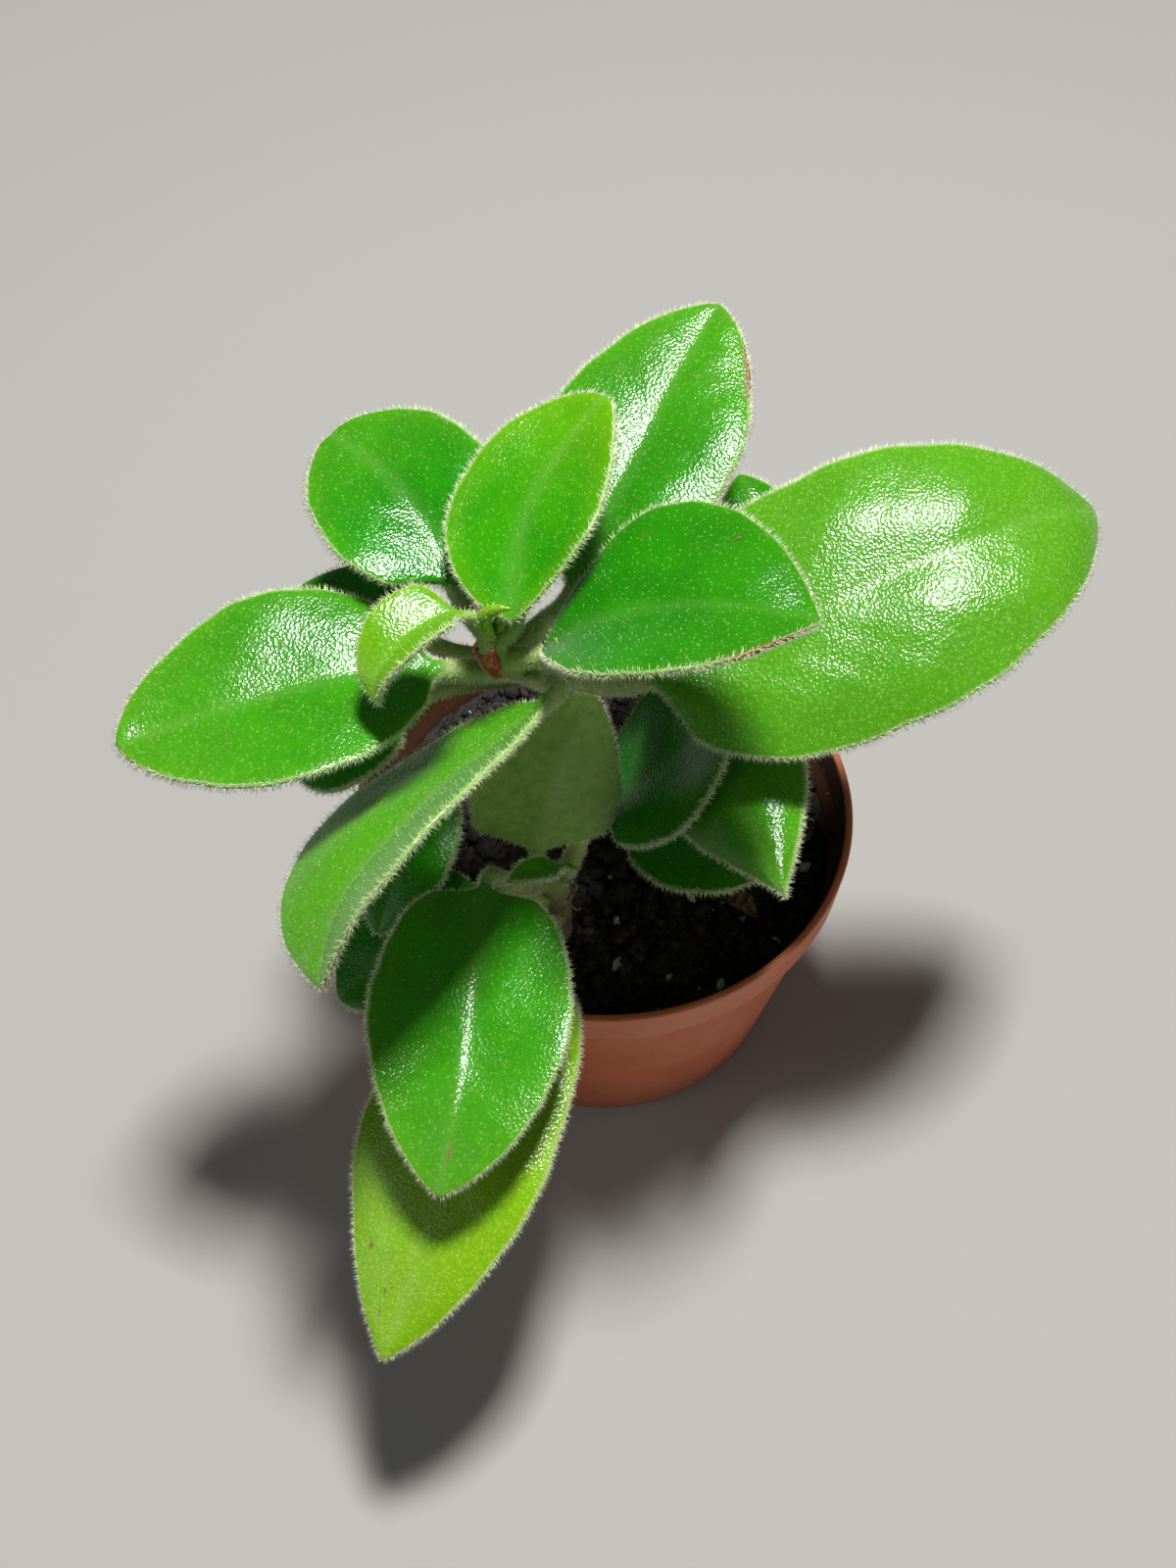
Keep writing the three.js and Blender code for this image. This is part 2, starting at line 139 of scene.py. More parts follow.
class Shader:
    """A material's node tree with short calls for the nodes that this plant uses."""

    def __init__(self, name: str) -> None:
        """Make an empty material with a Principled shader.

        Args:
            name: The material's name.
        """
        self.material = bpy.data.materials.new(name)
        self.material.use_nodes = True
        self.tree = self.material.node_tree
        self.tree.nodes.clear()
        self.surface = self.tree.nodes.new("ShaderNodeBsdfPrincipled")
        output = self.tree.nodes.new("ShaderNodeOutputMaterial")
        self.tree.links.new(self.surface.outputs["BSDF"], output.inputs["Surface"])
        self.place = self.node("ShaderNodeTexCoord", {}, {}, "Object")

    def connect(self, socket: bpy.types.NodeSocket, value: Any) -> None:
        """Link a value to a socket, or set the socket's own number.

        Args:
            socket: The input to feed.
            value: A Value, or a plain number, colour or vector.
        """
        if isinstance(value, Value):
            self.tree.links.new(value.socket, socket)
        elif socket.type == "RGBA" and len(value) == 3:
            socket.default_value = (*value, 1.0)
        else:
            socket.default_value = value

    def node(self, kind: str, settings: dict, inputs: dict, output: Any = 0) -> Value:
        """Add a node.

        Args:
            kind: The node's type name.
            settings: Properties of the node, which are set first.
            inputs: Socket names or numbers with what feeds them.
            output: Name or number of the output to return.

        Returns:
            The chosen output as a Value.
        """
        made = self.tree.nodes.new(kind)
        for key, setting in settings.items():
            setattr(made, key, setting)
        for key, value in inputs.items():
            self.connect(made.inputs[key], value)
        return Value(self, made.outputs[output])

    def attribute(self, name: str) -> Value:
        """Read a number that the mesh carries at its points."""
        return self.node("ShaderNodeAttribute", {"attribute_name": name}, {}, "Fac")

    def scaled_place(self, upright: float) -> Value:
        """The place on the piece with its height scaled."""
        return self.node("ShaderNodeMapping", {}, {"Vector": self.place, "Scale": (1.0, 1.0, upright)})

    def noise(self, size_mm: float, detail: float = 3.0, rough: float = 0.55) -> Value:
        """Cloudy noise between 0 and 1.

        Args:
            size_mm: Size of its largest blotches.
            detail: Octaves of finer blotches.
            rough: Strength of the finer ones.

        Returns:
            The noise value.
        """
        inputs = {"Vector": self.place, "Scale": 1.0 / (size_mm * MM), "Detail": detail, "Roughness": rough}
        return self.node("ShaderNodeTexNoise", {}, inputs, "Fac")

    def cells(self, size_mm: float) -> Value:
        """Distance from the middle of the nearest cell of a pebbled pattern."""
        inputs = {"Vector": self.place, "Scale": 1.0 / (size_mm * MM)}
        return self.node("ShaderNodeTexVoronoi", {"feature": "F1"}, inputs, "Distance")

    def mix(self, share: Any, first: Any, second: Any) -> Value:
        """Blend two colours.

        Args:
            share: How much of the second colour shows, from 0 to 1.
            first: The colour at 0.
            second: The colour at 1.

        Returns:
            The blended colour.
        """
        inputs = {"Factor": share, 6: first, 7: second}
        return self.node("ShaderNodeMix", {"data_type": "RGBA"}, inputs, 2)

    def bump(self, height: Value, depth_mm: float) -> Value:
        """Turn a height between 0 and 1 into a normal.

        Args:
            height: The relief.
            depth_mm: Its depth where height goes from 0 to 1.

        Returns:
            The normal.
        """
        inputs = {"Height": height, "Distance": depth_mm * MM, "Strength": 1.0}
        return self.node("ShaderNodeBump", {}, inputs, "Normal")

    def finish(self, inputs: dict) -> bpy.types.Material:
        """Feed the Principled shader and return the material."""
        for key, value in inputs.items():
            self.connect(self.surface.inputs[key], value)
        return self.material


# Finishes


@dataclass(frozen=True)
class LeafFinish:
    """A glossy leaf: its face, pale rib, dots, margin and painted sheen, and dull underside.

    Attributes:
        name: The material's name.
        face: Colour of the upper face.
        shade: Darker colour of its blotches.
        tip: Yellower colour towards the tip and on pale leaves.
        margin: Colour of the margin and of the painted sheen.
        back: Colour of the underside.
        stalk: Colour of the stalk.
        tip_share: How much of the tip's colour shows at the tip.
        dot: Colour of the fine dots.
        scorch: Colour of scars and dried tips.
        gloss: Roughness of the upper face.
        shine: Strength of its reflections.
        cloud_mm: Size of the large blotches.
        mottle_mm: Size of the small ones.
        freckle_mm: Distance between brown freckles on pale leaves.
        dot_mm: Distance between fine dots.
        sheen_speck_mm: Distance between the specks of the painted sheen.
        pebble_mm: Size of the cells of the skin.
        grain_mm: Size of its finest grain.
        relief_mm: Depth of both.
    """

    name: str
    face: Colour
    shade: Colour
    tip: Colour
    margin: Colour
    back: Colour
    stalk: Colour = (0.37, 0.42, 0.14)
    tip_share: float = 0.35
    dot: Colour = (0.26, 0.58, 0.14)
    scorch: Colour = (0.20, 0.075, 0.030)
    gloss: float = 0.12
    shine: float = 0.45
    cloud_mm: float = 9.0
    mottle_mm: float = 1.6
    freckle_mm: float = 4.2
    dot_mm: float = 0.85
    sheen_speck_mm: float = 0.55
    pebble_mm: float = 0.50
    grain_mm: float = 0.20
    relief_mm: float = 0.075

    def face_colour(self, s: Shader, cloud: Value, mottle: Value) -> Value:
        """Colour of the upper face.

        Args:
            s: The shader being made.
            cloud: Large soft blotches.
            mottle: Small blotches.

        Returns:
            The colour.
        """
        rib_mm, edge_mm, along = s.attribute("rib"), s.attribute("edge"), s.attribute("along")
        pale = s.attribute("pale")
        colour = s.mix(cloud.fade(0.36, 0.66), self.face, self.shade)
        colour = s.mix(mottle.fade(0.50, 0.80) * 0.22, colour, self.tip)
        colour = s.mix(pale, colour, self.tip)
        freckle = s.cells(self.freckle_mm).fade(0.060, 0.035) * pale.fade(0.6, 0.9)
        colour = s.mix(freckle * 0.75, colour, self.scorch)
        colour = s.mix(along.fade(0.35, 1.0) * self.tip_share, colour, self.tip)
        colour = s.mix(edge_mm.fade(4.5, 0.5) * 0.22, colour, self.tip)
        speck = s.cells(self.dot_mm)
        colour = s.mix(speck.fade(0.20, 0.60) * 0.26, colour, self.shade)
        colour = s.mix(speck.fade(0.20, 0.07) * 0.55, colour, self.dot)
        # Painted sheen: pale specks over part of the face, stronger on pale leaves, stand in for light
        # glinting off the pebbled skin.
        painted_sheen = s.cells(self.sheen_speck_mm).fade(0.36, 0.14) * cloud.fade(0.30, 0.60)
        colour = s.mix(painted_sheen * (0.12 + pale * 0.50), colour, self.margin)
        # A pale band along the midrib: partly the rib's own paler colour, partly painted sheen in its
        # valley.
        valley = (rib_mm / (3.6 - along * 2.2)).fade(1.0, 0.0)
        colour = s.mix(valley * 0.08, colour, self.margin)
        return s.mix(edge_mm.fade(0.75, 0.15) * 0.72, colour, self.margin)

    def back_colour(self, s: Shader, mottle: Value) -> Value:
        """Colour of the dull underside, with its raised pale rib."""
        rib_mm, edge_mm, along = s.attribute("rib"), s.attribute("edge"), s.attribute("along")
        colour = s.mix(mottle.fade(0.3, 0.8) * 0.45, self.back, self.shade)
        colour = s.mix((rib_mm / (2.2 - along * 1.4)).fade(1.1, 0.5) * 0.30, colour, self.margin)
        return s.mix(edge_mm.fade(0.9, 0.2) * 0.6, colour, self.margin)

    def make(self) -> bpy.types.Material:
        """Build the material."""
        s = Shader(self.name)
        along, upper, mark = s.attribute("along"), s.attribute("upper"), s.attribute("mark")
        cloud, mottle = s.noise(self.cloud_mm, 3.0), s.noise(self.mottle_mm, 4.0)
        pebble, grain = s.cells(self.pebble_mm), s.noise(self.grain_mm, 2.0)
        colour = s.mix(upper, self.back_colour(s, mottle), self.face_colour(s, cloud, mottle))
        stalk = along.fade(0.03, -0.08)
        colour = s.mix(stalk, colour, s.mix(mottle.fade(0.3, 0.7), self.back, self.stalk))
        worn_tip = along.fade(0.86, 1.0) * s.attribute("edge").fade(0.8, 0.2) * cloud.fade(0.42, 0.55)
        colour = s.mix(mark + worn_tip * 0.8, colour, self.scorch)
        dull = (1.0 - upper) * 0.30 + stalk * 0.30 + mark * 0.3
        return s.finish({
            "Base Color": colour,
            "Roughness": self.gloss + dull + mottle * 0.06,
            "Normal": s.bump(pebble * 0.8 + grain * 0.4, self.relief_mm),
            "IOR": 1.50,
            "Specular IOR Level": self.shine,
            "Subsurface Weight": 0.10,
            "Subsurface Radius": (0.4, 1.0, 0.08),
            "Subsurface Scale": 0.001,
        })


@dataclass(frozen=True)
class HairFinish:
    """Fine pale hairs."""

    name: str
    colour: Colour
    darker: float = 0.72

    def make(self) -> bpy.types.Material:
        """Build the material."""
        s = Shader(self.name)
        shade = tuple(self.darker * part for part in self.colour)
        tone = s.mix(s.noise(2.5, 2.0).fade(0.3, 0.7), self.colour, shade)
        return s.finish({"Base Color": tone, "Roughness": 0.45})


@dataclass(frozen=True)
class StemFinish:
    """A stout stem, green at its top and tan and woody at its foot."""

    name: str
    young: Colour
    old: Colour
    scar: Colour
    streak_scale: float = 900.0
    streak_stretch: float = 0.25

    def make(self) -> bpy.types.Material:
        """Build the material."""
        s = Shader(self.name)
        along = s.attribute("along")
        place = s.scaled_place(self.streak_stretch)
        streak_inputs = {"Vector": place, "Scale": self.streak_scale, "Detail": 4.0}
        streak = s.node("ShaderNodeTexNoise", {}, streak_inputs, "Fac")
        cloud = s.noise(4.0, 3.0)
        bark = s.mix(streak.fade(0.35, 0.7), self.old, self.scar)
        colour = s.mix((along + cloud * 0.3).fade(0.62, 1.05), bark, self.young)
        relief = streak * 0.8 + s.noise(0.5, 3.0) * 0.5
        return s.finish({
            "Base Color": colour,
            "Roughness": 0.55 + streak * 0.2,
            "Normal": s.bump(relief, 0.2),
        })


@dataclass(frozen=True)
class PotFinish:
    """Terracotta-coloured moulded plastic, with dust and fine scuffs, a collar painted lighter and painted
    shade inside.

    Attributes:
        name: The material's name.
        colour: Colour of clean plastic.
        worn_and_lit: Paler colour of rubbed plastic, also painted on the collar as the light that falls on
            it.
        dust: Colour of dust.
        painted_shade: Near-black colour painted as shade on the inner wall above the peat. Its foot also
            shows outside, as painted shade under the collar.
        collar_foot_mm: Height where the collar starts.
        painted_shade_foot_mm: Height where the painted shade starts, under the top of the peat.
        lip_mm: Radius of the inner wall at the rim.
        ring_scale: Scale of the moulding rings.
        ring_stretch: How much finer they are upwards than round the pot.
    """

    name: str
    colour: Colour
    worn_and_lit: Colour
    dust: Colour
    painted_shade: Colour = (0.022, 0.014, 0.006)
    collar_foot_mm: float = 46.0
    painted_shade_foot_mm: float = 43.0
    lip_mm: float = 43.5
    ring_scale: float = 90.0
    ring_stretch: float = 12.0

    def make(self) -> bpy.types.Material:
        """Build the material."""
        s = Shader(self.name)
        cloud = s.noise(14.0, 4.0)
        fine = s.noise(0.9, 4.0, 0.65)
        speck = s.cells(2.3)
        ring_place = s.scaled_place(self.ring_stretch)
        ring_inputs = {"Vector": ring_place, "Scale": self.ring_scale, "Detail": 3.0}
        rings = s.node("ShaderNodeTexNoise", {}, ring_inputs, "Fac")
        colour = s.mix(cloud.fade(0.35, 0.7), self.colour, self.worn_and_lit)
        colour = s.mix(rings.fade(0.5, 0.75) * 0.25, colour, self.worn_and_lit)
        height = s.node("ShaderNodeSeparateXYZ", {}, {"Vector": s.place}, "Z")
        # Painted light: the collar is made paler, standing in for the light that falls on it.
        collar = height.fade(self.collar_foot_mm * MM, (self.collar_foot_mm + 0.8) * MM)
        colour = s.mix(collar * 0.45, colour, self.worn_and_lit)
        # Painted shade: the inner wall above the peat, and the outer wall just under the collar, are
        # darkened nearly to black.
        level = s.scaled_place(0.0)
        radius = s.node("ShaderNodeVectorMath", {"operation": "LENGTH"}, {"Vector": level}, "Value")
        within = radius.fade((self.lip_mm + 0.3) * MM, (self.lip_mm - 0.1) * MM)
        above = height.fade(self.painted_shade_foot_mm * MM, (self.painted_shade_foot_mm + 1.0) * MM)
        colour = s.mix(within * above * (0.86 + fine * 0.12), colour, self.painted_shade)
        dusty = speck.fade(0.16, 0.05) * fine.fade(0.48, 0.62)
        colour = s.mix(dusty * 0.7, colour, self.dust)
        relief = fine * 0.6 + rings * 0.4
        return s.finish({
            "Base Color": colour,
            "Roughness": 0.36 + fine * 0.22 + dusty * 0.3,
            "Normal": s.bump(relief, 0.06),
            "IOR": 1.5,
        })


@dataclass(frozen=True)
class GrainFinish:
    """A rough natural crumb such as peat, bark, perlite or a dead leaf."""

    name: str
    dark: Colour
    light: Colour
    size_mm: float
    depth_mm: float
    roughness: float = 0.85

    def make(self) -> bpy.types.Material:
        """Build the material."""
        s = Shader(self.name)
        coarse = s.noise(self.size_mm, 5.0, 0.6)
        fine = s.noise(self.size_mm * 0.22, 3.0)
        colour = s.mix(coarse.fade(0.42, 0.72), self.dark, self.light)
        colour = s.mix(fine.fade(0.6, 0.75) * 0.5, colour, self.light)
        return s.finish({
            "Base Color": colour,
            "Roughness": self.roughness - coarse * 0.2,
            "Normal": s.bump(coarse * 0.7 + fine * 0.4, self.depth_mm),
        })


@dataclass(frozen=True)
class FloorFinish:
    """Plain pale studio paper."""

    name: str = "pale_paper"
    colour: Colour = (0.36, 0.355, 0.34)

    def make(self) -> bpy.types.Material:
        """Build the material."""
        s = Shader(self.name)
        return s.finish({"Base Color": self.colour, "Roughness": 0.8})


# Mesh helpers


def unit(values: np.ndarray) -> np.ndarray:
    """Scale vectors to length one along their last axis."""
    return values / np.linalg.norm(values, axis=-1, keepdims=True)


def turned(values: np.ndarray, axis: np.ndarray, degrees: float) -> np.ndarray:
    """Turn a vector about a unit axis."""
    angle = math.radians(degrees)
    sideways = np.cross(axis, values) * math.sin(angle)
    return values * math.cos(angle) + sideways + axis * np.dot(axis, values) * (1.0 - math.cos(angle))


def smooth(share: np.ndarray) -> np.ndarray:
    """Ease a share between 0 and 1, and hold it there outside that range."""
    held = np.clip(share, 0.0, 1.0)
    return held * held * (3.0 - 2.0 * held)


def ring_angles(sides: int) -> np.ndarray:
    """Angles of the points of a ring, in radians."""
    return np.arange(sides) / sides * 2 * math.pi


def soften(made: bmesh.types.BMesh) -> None:
    """Shade every face smooth."""
    for face in made.faces:
        face.smooth = True


def as_mesh(name: str, made: bmesh.types.BMesh) -> bpy.types.Mesh:
    """Turn a bmesh, which is freed, into a mesh."""
    mesh = bpy.data.meshes.new(name)
    made.to_mesh(mesh)
    made.free()
    return mesh


def add_object(name: str, data: bpy.types.ID) -> bpy.types.Object:
    """Put an object with this data in the scene."""
    thing = bpy.data.objects.new(name, data)
    bpy.context.scene.collection.objects.link(thing)
    return thing


@dataclass(frozen=True)
class Bezier:
    """A cubic curve with its four control points as rows."""

    handles: np.ndarray

    def points(self, shares: np.ndarray) -> np.ndarray:
        """Points at shares of the curve."""
        t = shares[:, None]
        a, b, c, d = self.handles
        return (1 - t) ** 3 * a + 3 * (1 - t) ** 2 * t * b + 3 * (1 - t) * t**2 * c + t**3 * d

    def directions(self, shares: np.ndarray) -> np.ndarray:
        """Unit directions at shares of the curve."""
        t = shares[:, None]
        a, b, c, d = self.handles
        return unit((1 - t) ** 2 * (b - a) + 2 * (1 - t) * t * (c - b) + t**2 * (d - c))


@dataclass(frozen=True)
class SplineThrough:
    """A smooth curve through its points, with equal shares for each stretch between two."""

    knots: np.ndarray

    def point(self, share: float) -> np.ndarray:
        """Point at a share of the curve."""
        count = len(self.knots) - 1
        place = min(max(share, 0.0), 1.0) * count
        start = min(int(place), count - 1)
        t = place - start
        p1, p2 = self.knots[start], self.knots[start + 1]
        p0 = self.knots[start - 1] if start > 0 else 2 * p1 - p2
        p3 = self.knots[start + 2] if start + 2 <= count else 2 * p2 - p1
        d0, d1, d2 = (math.sqrt(np.linalg.norm(q - p)) for p, q in ((p0, p1), (p1, p2), (p2, p3)))
        m1 = ((p1 - p0) / d0 - (p2 - p0) / (d0 + d1) + (p2 - p1) / d1) * d1
        m2 = ((p2 - p1) / d1 - (p3 - p1) / (d1 + d2) + (p3 - p2) / d2) * d1
        curve = (2 * t**3 - 3 * t**2 + 1) * p1 + (t**3 - 2 * t**2 + t) * m1
        return curve + (3 * t**2 - 2 * t**3) * p2 + (t**3 - t**2) * m2

    def points(self, shares: np.ndarray) -> np.ndarray:
        """Points at shares of the curve."""
        return np.array([self.point(float(share)) for share in shares])

    def direction(self, share: float) -> np.ndarray:
        """Unit direction at a share of the curve."""
        step = 0.0005
        return unit(self.point(share + step) - self.point(share - step))


@dataclass
class Skin:
    """Closed rings of points, in millimetres, that a sheet is wrapped round.

    Attributes:
        points: Rows of rings of points.
        layers: Numbers that the points carry, by name.
    """

    points: np.ndarray
    layers: dict[str, np.ndarray] = field(default_factory=dict)

    def mesh(self) -> bmesh.types.BMesh:
        """Wrap a grid round the rings, weld its seam and close its ends."""
        rows, ring = self.points.shape[0] - 1, self.points.shape[1]
        made = bmesh.new()
        layers = {name: made.verts.layers.float.new(name) for name in self.layers}
        bmesh.ops.create_grid(made, x_segments=rows, y_segments=ring, size=1.0)
        placed = self.points * MM
        for vert in made.verts:
            row = round((vert.co.x + 1) / 2 * rows)
            step = round((vert.co.y + 1) / 2 * ring) % ring
            vert.co = placed[row, step]
            for name, layer in layers.items():
                vert[layer] = float(self.layers[name][row, step])
        bmesh.ops.remove_doubles(made, verts=made.verts, dist=1e-7)
        open_edges = [edge for edge in made.edges if edge.is_boundary]
        bmesh.ops.holes_fill(made, edges=open_edges, sides=0)
        bmesh.ops.recalc_face_normals(made, faces=made.faces)
        soften(made)
        return made


def tip_mesh(sides: int, narrow: float) -> bmesh.types.BMesh:
    """A unit spike on the Z axis, with its foot at the origin.

    Args:
        sides: Number of sides.
        narrow: Radius of its end as a share of its foot's radius.

    Returns:
        The spike.
    """
    made = bmesh.new()
    bmesh.ops.create_cone(
        made, cap_ends=False, segments=sides, radius1=1.0, radius2=narrow, depth=1.0,
        matrix=Matrix.Translation((0.0, 0.0, 0.5)),
    )
    bmesh.ops.triangulate(made, faces=made.faces)
    return made


def copies(template: bmesh.types.BMesh, turns: np.ndarray, places: np.ndarray, slot: int) -> bpy.types.Mesh:
    """Place many copies of a small shape in one mesh.

    Args:
        template: The small shape, all triangles.
        turns: One 3 by 3 matrix for each copy, with the copy's axes as columns.
        places: One point for each copy.
        slot: Material slot number of all faces.

    Returns:
        The mesh of all copies.
    """
    template.verts.ensure_lookup_table()
    corners = np.array([vert.co for vert in template.verts])
    faces = np.array([[vert.index for vert in face.verts] for face in template.faces])
    points = np.einsum("nij,vj->nvi", turns, corners) + places[:, None, :]
    offsets = (np.arange(len(places)) * len(corners))[:, None, None]
    triangles = (faces[None] + offsets).reshape(-1)
    count = len(triangles) // 3
    mesh = bpy.data.meshes.new("copies")
    mesh.vertices.add(points.shape[0] * points.shape[1])
    mesh.vertices.foreach_set("co", points.reshape(-1))
    mesh.loops.add(len(triangles))
    mesh.loops.foreach_set("vertex_index", triangles)
    mesh.polygons.add(count)
    mesh.polygons.foreach_set("loop_start", np.arange(count) * 3)
    mesh.polygons.foreach_set("material_index", np.full(count, slot))
    mesh.polygons.foreach_set("use_smooth", np.ones(count, dtype=bool))
    mesh.update(calc_edges=True)
    return mesh


def axes_from(up: np.ndarray, spin: np.ndarray) -> np.ndarray:
    """Frames whose third axis is up, turned about it.

    Args:
        up: Unit vectors.
        spin: Angles in radians.

    Returns:
        One 3 by 3 matrix for each vector, with the axes as columns.
    """
    steep = np.abs(up[:, 2:3]) > 0.9
    helper = np.where(steep, np.array([[1.0, 0.0, 0.0]]), np.array([[0.0, 0.0, 1.0]]))
    side = unit(np.cross(helper, up))
    front = np.cross(up, side)
    cos, sin = np.cos(spin)[:, None], np.sin(spin)[:, None]
    first = side * cos + front * sin
    second = front * cos - side * sin
    return np.stack([first, second, up], axis=2)


@dataclass(frozen=True)
class Fuzz:
    """Short hairs that grow from a skin.

    Attributes:
        radius_mm: Radius of a hair at its foot.
        lean: How far hairs lean towards the far end, as a share of their length.
        scatter: How unevenly they stand.
        shortest: The shortest hair as a share of the wanted length.
        longest: The longest one.
    """

    radius_mm: float = 0.060
    lean: float = 0.25
    scatter: float = 0.30
    shortest: float = 0.6
    longest: float = 1.15

    def grow(self, skin: Skin, density: np.ndarray, length: np.ndarray, seed: int) -> bpy.types.Mesh:
        """Grow hairs on the faces of a skin.

        Args:
            skin: The rings of points that the hairs grow from.
            density: Hairs for each square millimetre, for each face.
            length: Length of the hairs in millimetres, for each face.
            seed: Seed of the random draws.

        Returns:
            The hairs as one mesh, in metres, in material slot 1.
        """
        draw = np.random.default_rng(seed)
        grid = skin.points
        after = np.roll(grid, -1, axis=1)
        a, b, c, d = grid[:-1], grid[1:], after[1:], after[:-1]
        normal = np.cross(c - a, b - d)
        area = np.linalg.norm(normal, axis=-1) / 2
        wanted = (density * area).reshape(-1)
        counts = np.floor(wanted + draw.random(wanted.shape)).astype(int)
        chosen = np.repeat(np.arange(len(counts)), counts)
        s, t = draw.random((2, len(chosen)))
        pick = [part.reshape(-1, 3)[chosen] for part in (a, b, c, d)]
        place = pick[0] * ((1 - s) * (1 - t))[:, None] + pick[1] * (s * (1 - t))[:, None]
        place += pick[2] * (s * t)[:, None] + pick[3] * ((1 - s) * t)[:, None]
        away = unit(normal.reshape(-1, 3)[chosen] + 1e-12)
        onward = unit(pick[1] - pick[0] + 1e-12)
        up = unit(away + onward * self.lean + draw.normal(0.0, self.scatter, place.shape))
        frames = axes_from(up, draw.random(len(chosen)) * 2 * math.pi)
        tall = length.reshape(-1)[chosen] * draw.uniform(self.shortest, self.longest, len(chosen))
        frames[:, :, :2] *= self.radius_mm * np.sqrt(np.minimum(tall, 1.0))[:, None, None]
        frames[:, :, 2] *= tall[:, None]
        return copies(tip_mesh(3, 0.0), frames * MM, place * MM, 1)


def join(made: bmesh.types.BMesh, other: bmesh.types.BMesh) -> None:
    """Add another bmesh, which is freed, to a first one."""
    mesh = as_mesh("joined", other)
    made.from_mesh(mesh)
    bpy.data.meshes.remove(mesh)


def as_piece(
    name: str,
    made: bmesh.types.BMesh,
    materials: list[bpy.types.Material],
    nodes: tuple[str, ...] = (),
) -> bpy.types.Object:
    """Turn a mesh into a piece of the model.

    Args:
        name: The piece's name.
        made: The mesh, in metres, which is freed.
        materials: Its materials in slot order.
        nodes: The solids that it stands for.

    Returns:
        The new object.
    """
    mesh = as_mesh(name, made)
    for material in materials:
        mesh.materials.append(material)
    piece = add_object(name, mesh)
    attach(piece, BODY)
    if nodes:
        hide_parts(*nodes)
    LOG.info("%s: %d faces", name, len(mesh.polygons))
    return piece


def tube(centres: np.ndarray, radii: np.ndarray, sides: int) -> np.ndarray:
    """Rings of points round a line, with no twist from ring to ring.

    Args:
        centres: Points of the line.
        radii: One radius for each point, or one for each point of each ring.
        sides: Points in a ring.

    Returns:
        The rings.
    """
    along = unit(np.gradient(centres, axis=0))
    angles = ring_angles(sides)
    side = unit(np.cross(along[0], np.array([0.31, 0.22, 0.11])))
    rings = []
    for centre, direction in zip(centres, along):
        side = unit(side - direction * np.dot(side, direction))
        front = np.cross(direction, side)
        rings.append(np.cos(angles)[:, None] * side + np.sin(angles)[:, None] * front)
    spread = radii if radii.ndim == 2 else radii[:, None]
    return centres[:, None, :] + np.array(rings) * spread[..., None]


def plain_layers(along: np.ndarray, sides: int, pale: float) -> dict[str, np.ndarray]:
    """Numbers that the leaf finish reads, for a rod with no rib, margin or scar.

    Args:
        along: The place along a leaf whose colour each ring takes.
        sides: Points in a ring.
        pale: How far the colour turns to that of a leaf's tip.

    Returns:
        The layers by name.
    """
    shape = (len(along), sides)
    far = np.full(shape, 9.0)
    return {
        "rib": far, "edge": far, "along": np.broadcast_to(along[:, None], shape),
        "upper": np.ones(shape), "mark": np.zeros(shape), "pale": np.full(shape, pale),
    }


# Stems and small shoots


